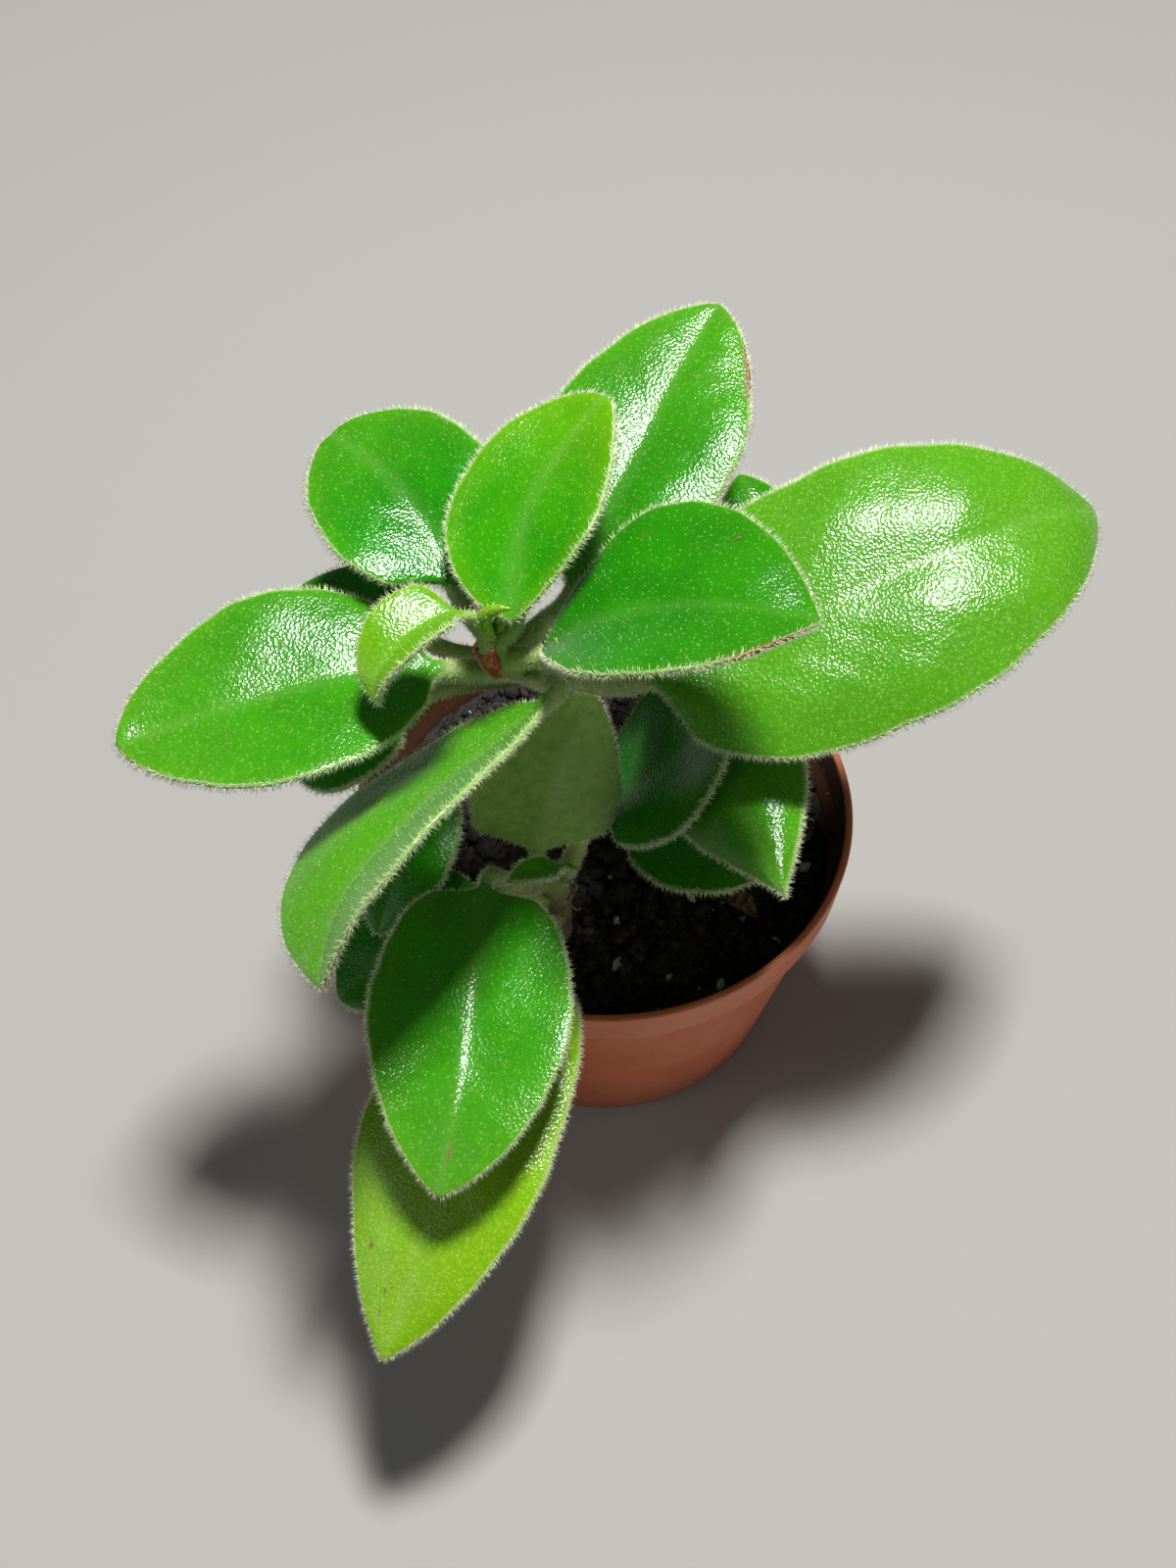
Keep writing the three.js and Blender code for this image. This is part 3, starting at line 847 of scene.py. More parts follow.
@dataclass(frozen=True)
class Stem:
    """A round stem that stands in the soil.

    Attributes:
        node: The solid that it stands for.
        knots_mm: Points that it runs through, from the soil to its top.
        foot_mm: Radius at its foot.
        top_mm: Radius at its top.
        joint_swell: How much thicker the stem is where a leaf leaves it.
        joint_spread: Length of that swelling as a share of the stem.
        ridges: Height, number round the stem and twist of each set of ridges.
        foot_hairs: Hairs for each square millimetre at its foot.
        top_hairs: Hairs for each square millimetre at its top.
        hair: How its hairs stand.
        hair_mm: Length of a hair.
        rows: Rings of faces along it.
        sides: Faces in a ring.
    """

    node: Shoot
    knots_mm: tuple[Point, ...]
    foot_mm: float
    top_mm: float
    joint_swell: float = 0.12
    joint_spread: float = 0.018
    ridges: tuple[tuple[float, int, int], ...] = ((0.035, 3, 9), (0.025, 7, -4))
    foot_hairs: float = 0.6
    top_hairs: float = 4.0
    hair: Fuzz = Fuzz(radius_mm=0.045, lean=0.1)
    hair_mm: float = 0.6
    rows: int = 90
    sides: int = 28

    def curve(self) -> SplineThrough:
        """The line through the stem's middle."""
        return SplineThrough(np.array(self.knots_mm, dtype=float))

    def skin(self, joints: list[float], seed: int) -> Skin:
        """Rings along the stem, swollen where leaves leave it and finely ridged.

        Args:
            joints: Shares of the stem where leaves leave it.
            seed: Seed of its unevenness.

        Returns:
            The skin.
        """
        draw = np.random.default_rng(seed)
        shares = np.linspace(0.0, 1.0, self.rows + 1)
        radius = self.foot_mm + (self.top_mm - self.foot_mm) * shares
        swell = sum(np.exp(-(((shares - joint) / self.joint_spread) ** 2)) for joint in joints)
        radius = radius * (1 + self.joint_swell * np.minimum(swell, 1.4))
        radius[-1] *= 0.4
        angles = ring_angles(self.sides)[None]
        phases = draw.random(len(self.ridges)) * 2 * math.pi
        relief = np.zeros((len(shares), self.sides))
        for phase, (height, count, twist) in zip(phases, self.ridges):
            relief = relief + height * np.sin(count * angles + phase + shares[:, None] * twist)
        points = tube(self.curve().points(shares), radius[:, None] * (1 + relief), self.sides)
        return Skin(points, {"along": np.repeat(shares[:, None], self.sides, axis=1)})

    def build(self, joints: list[float], bark: bpy.types.Material, hair: bpy.types.Material) -> None:
        """Make the stem with its hairs.

        Args:
            joints: Shares of the stem where leaves leave it.
            bark: The stem's material.
            hair: The hairs' material.
        """
        seed = len(self.node.value)
        skin = self.skin(joints, seed)
        made = skin.mesh()
        faces = (self.rows, self.sides)
        shares = np.linspace(0.0, 1.0, self.rows)[:, None]
        density = self.foot_hairs + (self.top_hairs - self.foot_hairs) * shares
        length = np.full(faces, self.hair_mm)
        made.from_mesh(self.hair.grow(skin, np.broadcast_to(density, faces), length, seed))
        as_piece(f"{self.node.value}_round", made, [bark, hair], (self.node.value,))


@dataclass(frozen=True)
class Shootlet:
    """A small bent rod such as a bud scale, a broken stub or a dry thread.

    Attributes:
        name: The piece's name.
        knots_mm: Points that it runs through.
        radii_mm: Its radius at each of them.
        flat: Its depth as a share of its width.
        slot: Material slot.
        fuzz: Hairs for each square millimetre.
        hair_mm: Length of a hair.
        nodes: The solids that it stands for.
        pale: How far its colour turns to that of a leaf's tip.
        rows: Rings of faces along it.
        sides: Faces in a ring.
    """

    name: str
    knots_mm: tuple[Point, ...]
    radii_mm: tuple[float, ...]
    flat: float = 1.0
    slot: Slot = Slot.LIME
    fuzz: float = 0.0
    hair_mm: float = 0.5
    nodes: tuple[str, ...] = ()
    pale: float = 0.95
    rows: int = 30
    sides: int = 16

    def build(self, cover: bpy.types.Material, hair: bpy.types.Material) -> None:
        """Make the rod.

        Args:
            cover: Its material.
            hair: The hairs' material.
        """
        curve = SplineThrough(np.array(self.knots_mm, dtype=float))
        shares = np.linspace(0.0, 1.0, self.rows + 1)
        radii = np.interp(shares, np.linspace(0.0, 1.0, len(self.radii_mm)), self.radii_mm)
        angles = ring_angles(self.sides)
        squash = np.hypot(np.cos(angles), self.flat * np.sin(angles))
        points = tube(curve.points(shares), radii[:, None] * squash, self.sides)
        skin = Skin(points, plain_layers(0.1 + 0.9 * shares, self.sides, self.pale))
        made = skin.mesh()
        if self.fuzz:
            faces = (self.rows, self.sides)
            density, length = np.full(faces, self.fuzz), np.full(faces, self.hair_mm)
            made.from_mesh(Fuzz().grow(skin, density, length, self.rows))
        as_piece(self.name, made, [cover, hair], self.nodes)


# Leaves


class BaseForm(Enum):
    """How a blade meets its stalk."""

    TAPERED = "the blade narrows into its stalk"
    ROUNDED = "the stalk joins under a rounded end"


@dataclass(frozen=True)
class Growth:
    """How the hairs stand on one part of a leaf: how many a square millimetre, and how long."""

    density: float
    length: float


@dataclass(frozen=True)
class Relief:
    """Fine shape that all blades share, in millimetres.

    Attributes:
        half_middle: Half the thickness at the midrib.
        half_margin: Half the thickness at the margin.
        valley_depth: Depth of the groove over the midrib.
        valley_width: Its half width.
        keel_height: Height of the rib under the blade.
        keel_width: Its half width.
        keel_fade: How fast it sinks towards the tip, faster when larger.
        taper: How much narrower groove and keel are at the tip, as a share.
        vein_spacing: Distance between side veins.
        vein_height: Height of the swelling between them.
        vein_slant: How far they run forwards for each millimetre outwards.
        dent: Depth of the uneven dents.
        dents: Share, waves along and waves across of each set of dents.
        waves: Share of the width and number along the margin of each set of waves.
    """

    half_middle: float = 0.8
    half_margin: float = 0.48
    valley_depth: float = 0.12
    valley_width: float = 2.0
    keel_height: float = 0.8
    keel_width: float = 1.4
    keel_fade: float = 1.3
    taper: float = 0.65
    vein_spacing: float = 6.5
    vein_height: float = 0.035
    vein_slant: float = 0.95
    dent: float = 0.15
    dents: tuple[tuple[float, float, float], ...] = ((1.0, 0.31, 0.20), (0.7, 0.17, -0.41))
    waves: tuple[tuple[float, float], ...] = ((0.010, 2.7), (0.006, 7.3))


@dataclass(frozen=True)
class Scar:
    """A small brown mark on a blade.

    Attributes:
        share: Its place along the blade.
        across: Its place across, as a share of the half width.
        length: Its length in millimetres.
        width: Its width.
    """

    share: float
    across: float
    length: float
    width: float


@dataclass(frozen=True)
class Leaf:
    """A thick leaf and its stalk. Lengths are in millimetres and angles in degrees.

    Attributes:
        node: The solid that it stands for.
        base: Where the blade starts.
        tip: Where it ends.
        width: Its full width.
        shoot: The stem that it grows on.
        at: The share of the stem where its stalk leaves it.
        roll: Turn of the blade about its length.
        rise: How steeply the blade starts.
        droop: How steeply it ends.
        bend: Sideways bow.
        fold: Lift of both halves into a valley.
        cup: Lift of the margins.
        widest: Share of its length where it is widest.
        base_full: Roundness of the base, fuller when smaller.
        tip_full: Roundness of the tip, fuller when smaller.
        stalk: Radius of the stalk.
        slot: Material slot.
        form: How the blade meets its stalk.
        scars: Brown marks on it.
        pale: How far its face turns to the colour of its tip, and how strong its painted sheen is.
        relief: Its fine shape.
        face_hair: Hairs on its faces.
        edge_hair: Hairs of its fringe.
        stalk_hair: Hairs on its stalk.
        stalk_taper: How much thinner the stalk is where it meets the blade.
        stalk_rows: Rings of faces along the stalk.
        stalk_sides: Faces in a ring of a separate stalk.
        face_steps: Faces across the upper side.
        back_steps: Faces across the lower side.
        edge_steps: Faces round a margin.
    """

    node: str
    base: Point
    tip: Point
    width: float
    shoot: Shoot
    at: float
    roll: float = 0.0
    rise: float = 15.0
    droop: float = 15.0
    bend: float = 0.0
    fold: float = 12.0
    cup: float = -0.1
    widest: float = 0.48
    base_full: float = 0.55
    tip_full: float = 0.75
    stalk: float = 1.8
    slot: Slot = Slot.GREEN
    form: BaseForm = BaseForm.TAPERED
    scars: tuple[Scar, ...] = ()
    pale: float = 0.0

    relief: Relief = Relief()
    face_hair: Growth = Growth(0.35, 0.34)
    edge_hair: Growth = Growth(10.0, 1.05)
    stalk_hair: Growth = Growth(4.0, 0.7)
    stalk_taper: float = 0.2
    stalk_rows: int = 26
    stalk_sides: int = 24
    face_steps: int = 46
    back_steps: int = 22
    edge_steps: int = 6

    def outline(self, shares: np.ndarray) -> np.ndarray:
        """Half width, as a share of the widest, at shares of the length."""
        held = np.clip(shares, 1e-6, 1.0)
        s = held ** (math.log(0.5) / math.log(self.widest))
        low = (1 - (1 - 2 * np.minimum(s, 0.5)) ** 2) ** self.base_full
        high = np.maximum(1 - (2 * np.maximum(s, 0.5) - 1) ** 2, 0.0) ** self.tip_full
        return np.where(s < 0.5, low, high)

    def midrib(self) -> tuple[Bezier, np.ndarray, np.ndarray]:
        """The midrib curve, the blade's side direction and its first direction."""
        base, tip = np.array(self.base, dtype=float), np.array(self.tip, dtype=float)
        length = np.linalg.norm(tip - base)
        along = (tip - base) / length
        up = unit(np.array([0.0, 0.0, 1.0]) - along * along[2])
        up = turned(up, along, self.roll)
        side = np.cross(along, up)

        def aim(lift: float, sway: float) -> np.ndarray:
            """Direction lifted off the chord and swayed to a side, both in degrees."""
            a, b = math.radians(lift), math.radians(sway)
            flat = along * math.cos(a) * math.cos(b) + side * math.cos(a) * math.sin(b)
            return flat + up * math.sin(a)

        start = aim(self.rise, self.bend)
        end = aim(-self.droop, -self.bend)
        handles = np.array([base, base + start * 0.36 * length, tip - end * 0.36 * length, tip])
        return Bezier(handles), side, start

    def stalk_curve(self, stem: Stem) -> Bezier:
        """The curve of the stalk from the middle of its stem to the blade."""
        rib, side, start = self.midrib()
        line = stem.curve()
        foot, along = line.point(self.at), line.direction(self.at)
        base = rib.handles[0]
        reach = np.linalg.norm(base - foot)
        out = unit((base - foot) - along * np.dot(base - foot, along))
        near = foot + out * 0.45 * reach + along * 0.1 * reach
        if self.form is BaseForm.TAPERED:
            return Bezier(np.array([foot, near, base - start * 0.35 * reach, base]))
        up = np.cross(side, start)
        graft = base + start * (2.0 + 0.06 * math.dist(self.base, self.tip)) - up * 0.5
        return Bezier(np.array([foot, near, graft - (start + up) * 0.3 * reach, graft]))

    def ring_plan(self) -> dict[str, np.ndarray]:
        """Places round one slice: across, out along the margin, and up or down."""
        steps = np.linspace(-1.0, 1.0, self.face_steps + 1)
        face = steps * 0.45 + steps**3 * 0.55
        edge = np.radians(np.linspace(90.0, -90.0, self.edge_steps + 2)[1:-1])
        back = np.linspace(1.0, -1.0, self.back_steps + 1)
        rounded = np.ones(len(edge))
        flat_face, flat_back = np.ones(len(face)), np.ones(len(back))
        return {
            "across": np.concatenate([face, rounded, back, -rounded]),
            "out": np.concatenate([0 * flat_face, np.cos(edge), 0 * flat_back, -np.cos(edge)]),
            "rise": np.concatenate([flat_face, np.sin(edge), -flat_back, -np.sin(edge)]),
        }

    def rows(self) -> np.ndarray:
        """Shares along the leaf: below 0 on the stalk, then 0 to 1 on the blade."""
        length = math.dist(self.base, self.tip)
        count = int(min(max(length * 1.15, 34), 84))
        even = np.linspace(0.0, 1.0, count + 1)
        blade = 0.55 * even + 0.45 * (1 - np.cos(math.pi * even)) / 2
        if self.form is BaseForm.ROUNDED:
            return blade
        return np.concatenate([np.linspace(-1.0, 0.0, self.stalk_rows + 1)[:-1], blade])

    def spine(self, stem: Stem, shares: np.ndarray) -> tuple[np.ndarray, np.ndarray, np.ndarray]:
        """Centres of the slices with the directions along and across them."""
        rib, side, _ = self.midrib()
        stalk = self.stalk_curve(stem)
        on_blade = (shares >= 0)[:, None]
        blade_share, stalk_share = np.clip(shares, 0.0, 1.0), 1 + np.minimum(shares, 0.0)
        centre = np.where(on_blade, rib.points(blade_share), stalk.points(stalk_share))
        along = np.where(on_blade, rib.directions(blade_share), stalk.directions(stalk_share))
        across = unit(side - along * (along @ side)[:, None])
        for row in range(int(np.sum(shares < 0)) - 1, -1, -1):
            across[row] = unit(across[row + 1] - along[row] * np.dot(across[row + 1], along[row]))
        return centre, along, across

    def height(
        self, x: np.ndarray, half: np.ndarray, run: np.ndarray, draw: np.random.Generator
    ) -> np.ndarray:
        """Height of the blade's middle layer: its fold, dents and side veins.

        Args:
            x: Distance from the midrib.
            half: Half width of the slice.
            run: Distance from the base.
            draw: Random draws for the dents.

        Returns:
            The height above the flat of the slice.
        """
        v = x / half
        soft = np.sqrt(v**2 + 0.01) - 0.1
        fold = half * (math.tan(math.radians(self.fold)) * soft + self.cup * v**2)
        dent = np.zeros(x.shape)
        for share, onward, aside in self.relief.dents:
            dent = dent + share * np.sin(run * onward + x * aside + draw.random() * 6)
        vein = (run - self.relief.vein_slant * np.abs(x)) / self.relief.vein_spacing
        swell = 4 * np.abs(v) * (1 - np.abs(v))
        veins = self.relief.vein_height * np.cos(2 * math.pi * vein) * swell
        return fold + (self.relief.dent * dent + veins) * smooth(half / 8)

    def skin(self, stem: Stem, seed: int) -> Skin:
        """Rings along the stalk and the blade.

        Args:
            stem: The stem that the leaf grows on.
            seed: Seed of its unevenness.

        Returns:
            The skin, with the layers that the finish reads.
        """
        draw = np.random.default_rng(seed)
        shares = self.rows()
        blade_share = np.clip(shares, 0.0, 1.0)
        centre, along, across = self.spine(stem, shares)
        face = np.cross(across, along)
        run = (blade_share * math.dist(self.base, self.tip))[:, None]
        wave = np.ones(len(shares))
        for share, count in self.relief.waves:
            wave = wave + share * np.sin(2 * math.pi * (count * blade_share + draw.random()))
        stalk_radius = self.stalk * (1.0 - self.stalk_taper * np.clip(shares + 1, 0, 1))
        end = np.full(len(shares), 0.35)
        if self.form is BaseForm.TAPERED:
            end = np.where(blade_share > 0.5, end, stalk_radius)
        half = np.maximum(self.width / 2 * self.outline(blade_share) * wave, end)[:, None]
        margin = np.minimum(self.relief.half_margin, 0.6 * half)
        plan = self.ring_plan()
        q, out, rise = (plan[key][None, :] for key in ("across", "out", "rise"))
        x = (half - margin) * q + margin * out
        middle = margin + (self.relief.half_middle - margin) * smooth(half / 4)
        body = (margin + (middle - margin) * (1 - q**2)) * rise
        taper = 1 - self.relief.taper * blade_share[:, None]
        valley = self.relief.valley_depth * taper * np.exp(-((x / (self.relief.valley_width * taper)) ** 2))
        keel = self.relief.keel_height * (1 - blade_share[:, None]) ** self.relief.keel_fade
        keel = keel * np.exp(-((x / (self.relief.keel_width * taper)) ** 2))
        hollow = np.where(rise > 0.99, valley, 0.0) + np.where(rise < -0.99, keel, 0.0)
        body = body - hollow * smooth(half / 3)
        v = np.clip(x / half, -1.0, 1.0)
        b = np.ones_like(run)
        if self.form is BaseForm.TAPERED:
            b = smooth((run - 0.2) / 3.5)
        round_z = np.sqrt(np.maximum(1 - v**2, 0.0)) * np.sign(rise + 1e-9) * stalk_radius[:, None]
        wide = v * stalk_radius[:, None] * (1 - b) + x * math.cos(math.radians(self.fold)) * b
        tall = round_z * (1 - b) + (self.height(x, half, run, draw) + body) * b
        points = centre[:, None] + across[:, None] * wide[..., None] + face[:, None] * tall[..., None]
        shape = wide.shape
        layers = {
            "rib": np.abs(wide),
            "edge": half - np.abs(x),
            "along": np.broadcast_to(shares[:, None], shape),
            "upper": np.broadcast_to((rise > -0.2).astype(float), shape),
            "mark": self.marks(run, v),
            "pale": np.full(shape, self.pale),
        }
        return Skin(points, layers)

    def marks(self, run: np.ndarray, v: np.ndarray) -> np.ndarray:
        """How brown each point is, from the leaf's scars."""
        total = np.zeros(v.shape)
        for scar in self.scars:
            far = (run - scar.share * math.dist(self.base, self.tip)) / (scar.length / 2)
            aside = (v - scar.across) * (self.width / 2) / (scar.width / 2)
            total = np.maximum(total, smooth(1.6 - np.hypot(far, aside)))
        return total

    def stalk_skin(self, stem: Stem) -> Skin:
        """The separate stalk of a rounded blade."""
        shares = np.linspace(0.0, 1.0, self.stalk_rows + 1)
        radii = self.stalk * (1 - self.stalk_taper * shares)
        points = tube(self.stalk_curve(stem).points(shares), radii, self.stalk_sides)
        return Skin(points, plain_layers(shares - 1.2, self.stalk_sides, 0.0))

    def fuzz(self, skin: Skin, seed: int) -> bpy.types.Mesh:
        """Hairs of the leaf: a dense fringe and sparse short ones on the faces."""
        rows, ring = skin.points.shape[0] - 1, skin.points.shape[1]
        rise = self.ring_plan()["rise"]
        at_edge = (np.abs(rise) < 0.99) | (np.abs(np.roll(rise, -1)) < 0.99)
        stalk = skin.layers["along"][:-1] < 0.0
        density = np.full((rows, ring), self.face_hair.density)
        density[:, at_edge] = self.edge_hair.density
        density[stalk] = self.stalk_hair.density
        length = np.full((rows, ring), self.face_hair.length)
        length[:, at_edge] = self.edge_hair.length
        length[stalk] = self.stalk_hair.length
        return Fuzz().grow(skin, density, length, seed)

    def build(
        self, stem: Stem, materials: dict[Slot, bpy.types.Material], hair: bpy.types.Material
    ) -> None:
        """Make the leaf with its hairs.

        Args:
            stem: The stem that it grows on.
            materials: Leaf materials by slot.
            hair: The hairs' material.
        """
        seed = sum(ord(letter) for letter in self.node)
        skin = self.skin(stem, seed)
        made = skin.mesh()
        made.from_mesh(self.fuzz(skin, seed))
        if self.form is BaseForm.ROUNDED:
            stalk = self.stalk_skin(stem)
            join(made, stalk.mesh())
            faces = (self.stalk_rows, self.stalk_sides)
            density = np.full(faces, self.stalk_hair.density)
            length = np.full(faces, self.stalk_hair.length)
            made.from_mesh(Fuzz().grow(stalk, density, length, seed))
        as_piece(f"{self.node}_fleshy", made, [materials[self.slot], hair], (self.node,))


STEMS: tuple[Stem, ...] = (
    Stem(
        Shoot.MAIN,
        (
            (-2, 7, 36), (-2, 7, 55), (-3, 5, 80), (-7.5, -5, 100),
            (-12, -17.5, 113), (-14, -22.5, 120.5), (-16.5, -23, 128),
        ),
        3.3,
        1.6,
    ),
    Stem(Shoot.FRONT, ((-8, -23, 36), (-8, -23, 52), (-8, -24, 62), (-9, -25, 69)), 2.5, 2.1),
    Stem(Shoot.RIGHT, ((15, 8, 36), (15, 8, 54), (16, 6, 72), (16, 3, 88)), 2.5, 1.8),
)


LEAVES: tuple[Leaf, ...] = (
    Leaf(
        "leaf_right_big", (6.8, -15, 107.2), (77.2, 13.2, 116.3), 45.1, Shoot.MAIN, 0.64,
        roll=16.8, rise=8.1, droop=46.6, bend=4.5, fold=10.6, cup=-0.26, widest=0.4, base_full=0.62,
        tip_full=0.71, stalk=2, pale=0.62,
    ),
    Leaf(
        "leaf_back_top", (-5, -6, 118), (17.4, 39, 135.6), 32.6, Shoot.MAIN, 0.79,
        roll=-2, rise=6, droop=3, bend=-2, fold=15, cup=-0.2, tip_full=0.7, stalk=1.9, pale=0.12,
        scars=(Scar(0.82, 0.98, 9, 1.2),),
    ),
    Leaf(
        "leaf_top_centre", (-12.9, -25.8, 132.8), (-0.1, 7.1, 144.9), 24.4, Shoot.MAIN, 0.96,
        roll=-16.2, rise=10.6, droop=2.1, bend=-23.3, fold=5, cup=0.1, widest=0.44, base_full=1,
        tip_full=0.6, stalk=1.5, slot=Slot.LIME, form=BaseForm.ROUNDED,
    ),
    Leaf(
        "leaf_centre_right", (-9, -27, 127.4), (29, -32.5, 141), 39.5, Shoot.MAIN, 0.87,
        roll=-9, rise=30, droop=21, bend=-2, fold=16, cup=-0.03, widest=0.51, base_full=1,
        tip_full=0.92, slot=Slot.DARK, form=BaseForm.ROUNDED,
        scars=(Scar(0.87, 0.99, 8, 1.4), Scar(0.4, -0.75, 2.2, 0.5)),
    ),
    Leaf(
        "leaf_upper_left", (-22.4, -13, 125.8), (-43, 15, 129.2), 28.4, Shoot.MAIN, 0.87,
        roll=-10.5, rise=25, droop=13, bend=15, fold=10, cup=-0.05, widest=0.45, base_full=0.52,
        tip_full=0.55,
    ),
    Leaf(
        "leaf_left_big", (-24.7, -22.3, 117.7), (-70.8, -35.6, 116), 34.3, Shoot.MAIN, 0.68,
        roll=-5.5, rise=21, droop=2.5, bend=2, fold=15, widest=0.46, base_full=0.8, tip_full=0.66,
        stalk=2.1, pale=0.2,
    ),
    Leaf(
        "leaf_young_curl", (-20, -25.7, 134), (-31.5, -36.7, 127.3), 14, Shoot.MAIN, 0.87,
        roll=13.5, rise=37, droop=57, bend=29, fold=27, cup=-0.03, widest=0.34, base_full=0.76,
        tip_full=0.94, stalk=1, slot=Slot.LIME, pale=0.45,
    ),
    Leaf(
        "leaf_front_left", (-7.9, -30, 120.6), (-38, -71.8, 108.8), 35.6, Shoot.MAIN, 0.73,
        roll=44, rise=0, droop=31, bend=22, fold=17, cup=-0.09, widest=0.59, base_full=0.49,
        tip_full=0.91, pale=0.55,
    ),
    Leaf(
        "leaf_underside", (-11, -24.2, 73.6), (-2, -14.6, 104), 24.9, Shoot.FRONT, 1,
        roll=228, rise=-6, droop=-1, bend=10, fold=13.5, widest=0.32, base_full=0.4, tip_full=0.73,
        stalk=1.4, slot=Slot.DARK,
    ),
    Leaf(
        "leaf_centre_low", (0.15, -14.9, 75.8), (19.6, -10.4, 107), 26.6, Shoot.FRONT, 0.72,
        roll=1.5, rise=-6, droop=-10, bend=24, fold=6, cup=0, widest=0.47, base_full=0.48,
        tip_full=0.73, slot=Slot.DARK,
    ),
    Leaf(
        "leaf_right_small", (15.5, -9.1, 90.1), (28.1, -43.4, 89.3), 23.5, Shoot.RIGHT, 0.9,
        roll=27.8, rise=25.3, droop=12, widest=0.38, tip_full=1.18, cup=-0.6, bend=-5, pale=0.3,
        scars=(Scar(0.985, 0, 3, 3),),
    ),
    Leaf(
        "leaf_low_shadow", (4, -10, 63), (31, -19, 64), 26, Shoot.RIGHT, 0.5,
        rise=20, droop=25, fold=4, slot=Slot.DARK,
    ),
    Leaf(
        "leaf_back_right", (29, 10, 100), (22, 29, 108), 14, Shoot.RIGHT, 1,
        fold=6, stalk=1.3, slot=Slot.DARK,
    ),
    Leaf(
        "leaf_back_left", (-28, -5, 104), (-50, 6, 104), 20, Shoot.MAIN, 0.55,
        fold=6, slot=Slot.DARK,
    ),
    Leaf(
        "leaf_low_tip", (-32, -13, 96), (-50, -18, 86), 13, Shoot.MAIN, 0.45,
        bend=-30, fold=6, tip_full=1, stalk=1.3, slot=Slot.DARK,
    ),
    Leaf(
        "leaf_front_young", (-6.6, -28.9, 75.8), (-15.2, -35, 80.8), 5.4, Shoot.FRONT, 0.9,
        fold=16, stalk=0.8,
    ),
    Leaf(
        "leaf_front", (-19, -34.6, 78.8), (-24, -84.3, 69.7), 32.8, Shoot.FRONT, 0.88,
        roll=-6.4, rise=11.5, droop=15.8, bend=-2.8, fold=20, cup=-0.07, widest=0.46, tip_full=0.77,
        stalk=1.5, pale=0.15, scars=(Scar(0.88, -0.05, 2.6, 0.7),),
    ),
    Leaf(
        "leaf_bottom", (-12.8, -40.7, 65.6), (-33.3, -100, 44.6), 32, Shoot.FRONT, 0.4,
        roll=5, rise=29, droop=21, bend=-4, fold=5, cup=-0.17, widest=0.44, base_full=0.4,
        tip_full=0.84, slot=Slot.LIME, pale=0.95,
        scars=(
            Scar(0.75, 0.92, 1.3, 1.0), Scar(0.77, 0.67, 1.1, 0.8), Scar(0.85, 0.33, 1.1, 0.8),
            Scar(0.9, 0.42, 1.0, 0.8), Scar(0.93, 0.97, 1.5, 1.0),
        ),
    ),
    Leaf(
        "leaf_inner_left", (-27, -17, 84), (-36, -41, 74), 16, Shoot.MAIN, 0.36,
        fold=10, stalk=1.3, slot=Slot.DARK,
    ),
    Leaf(
        "leaf_low_left", (-18, -30, 69.5), (-43, -46, 61.4), 26, Shoot.FRONT, 0.6,
        fold=10, stalk=1.4, slot=Slot.DARK,
    ),
)


# Dry scraps, soil and pot


@dataclass(frozen=True)
class Scrap:
    """A curled piece of a dead leaf.

    Attributes:
        name: The piece's name.
        base: Where it starts, in millimetres.
        tip: Where it ends.
        width: Its width.
        curl: Height of its curl.
        nodes: The solids that it stands for.
    """

    name: str
    base: Point
    tip: Point
    width: float
    curl: float
    nodes: tuple[str, ...] = ()
    thickness: float = 0.25
    steps: int = 22

    def build(self, dry: bpy.types.Material) -> None:
        """Make the scrap.

        Args:
            dry: Its material.
        """
        made = bmesh.new()
        bmesh.ops.create_grid(made, x_segments=self.steps * 2, y_segments=self.steps, size=1.0)
        base, tip = Vector(self.base), Vector(self.tip)
        along = (tip - base).normalized()
        side = along.cross(Vector((0.0, 0.0, 1.0))).normalized()
        up = side.cross(along)
        seed = Vector((self.width, self.curl, 3.0))
        for vert in made.verts:
            share, across = (vert.co.x + 1) / 2, vert.co.y
            rough = noise.noise(seed + Vector((share * 3, across * 2, 0.0)))
            crease = noise.noise(seed * 2 + Vector((share * 7, across * 6, 0.0)))
            outline = math.sin(math.pi * min(max(share, 0.02), 0.98)) ** 0.6 * (1 + 0.35 * rough)
            out = across * outline * self.width / 2
            lift = self.curl * (4 * share * (1 - share) + 0.9 * across**2 * outline)
            lift += 0.5 * crease + 0.3 * rough
            vert.co = (base + (tip - base) * share + side * out * (1 - 0.25 * across**2) + up * lift) * MM
        bmesh.ops.solidify(made, geom=made.faces[:], thickness=self.thickness * MM)
        bmesh.ops.recalc_face_normals(made, faces=made.faces)
        soften(made)
        as_piece(self.name, made, [dry], self.nodes)


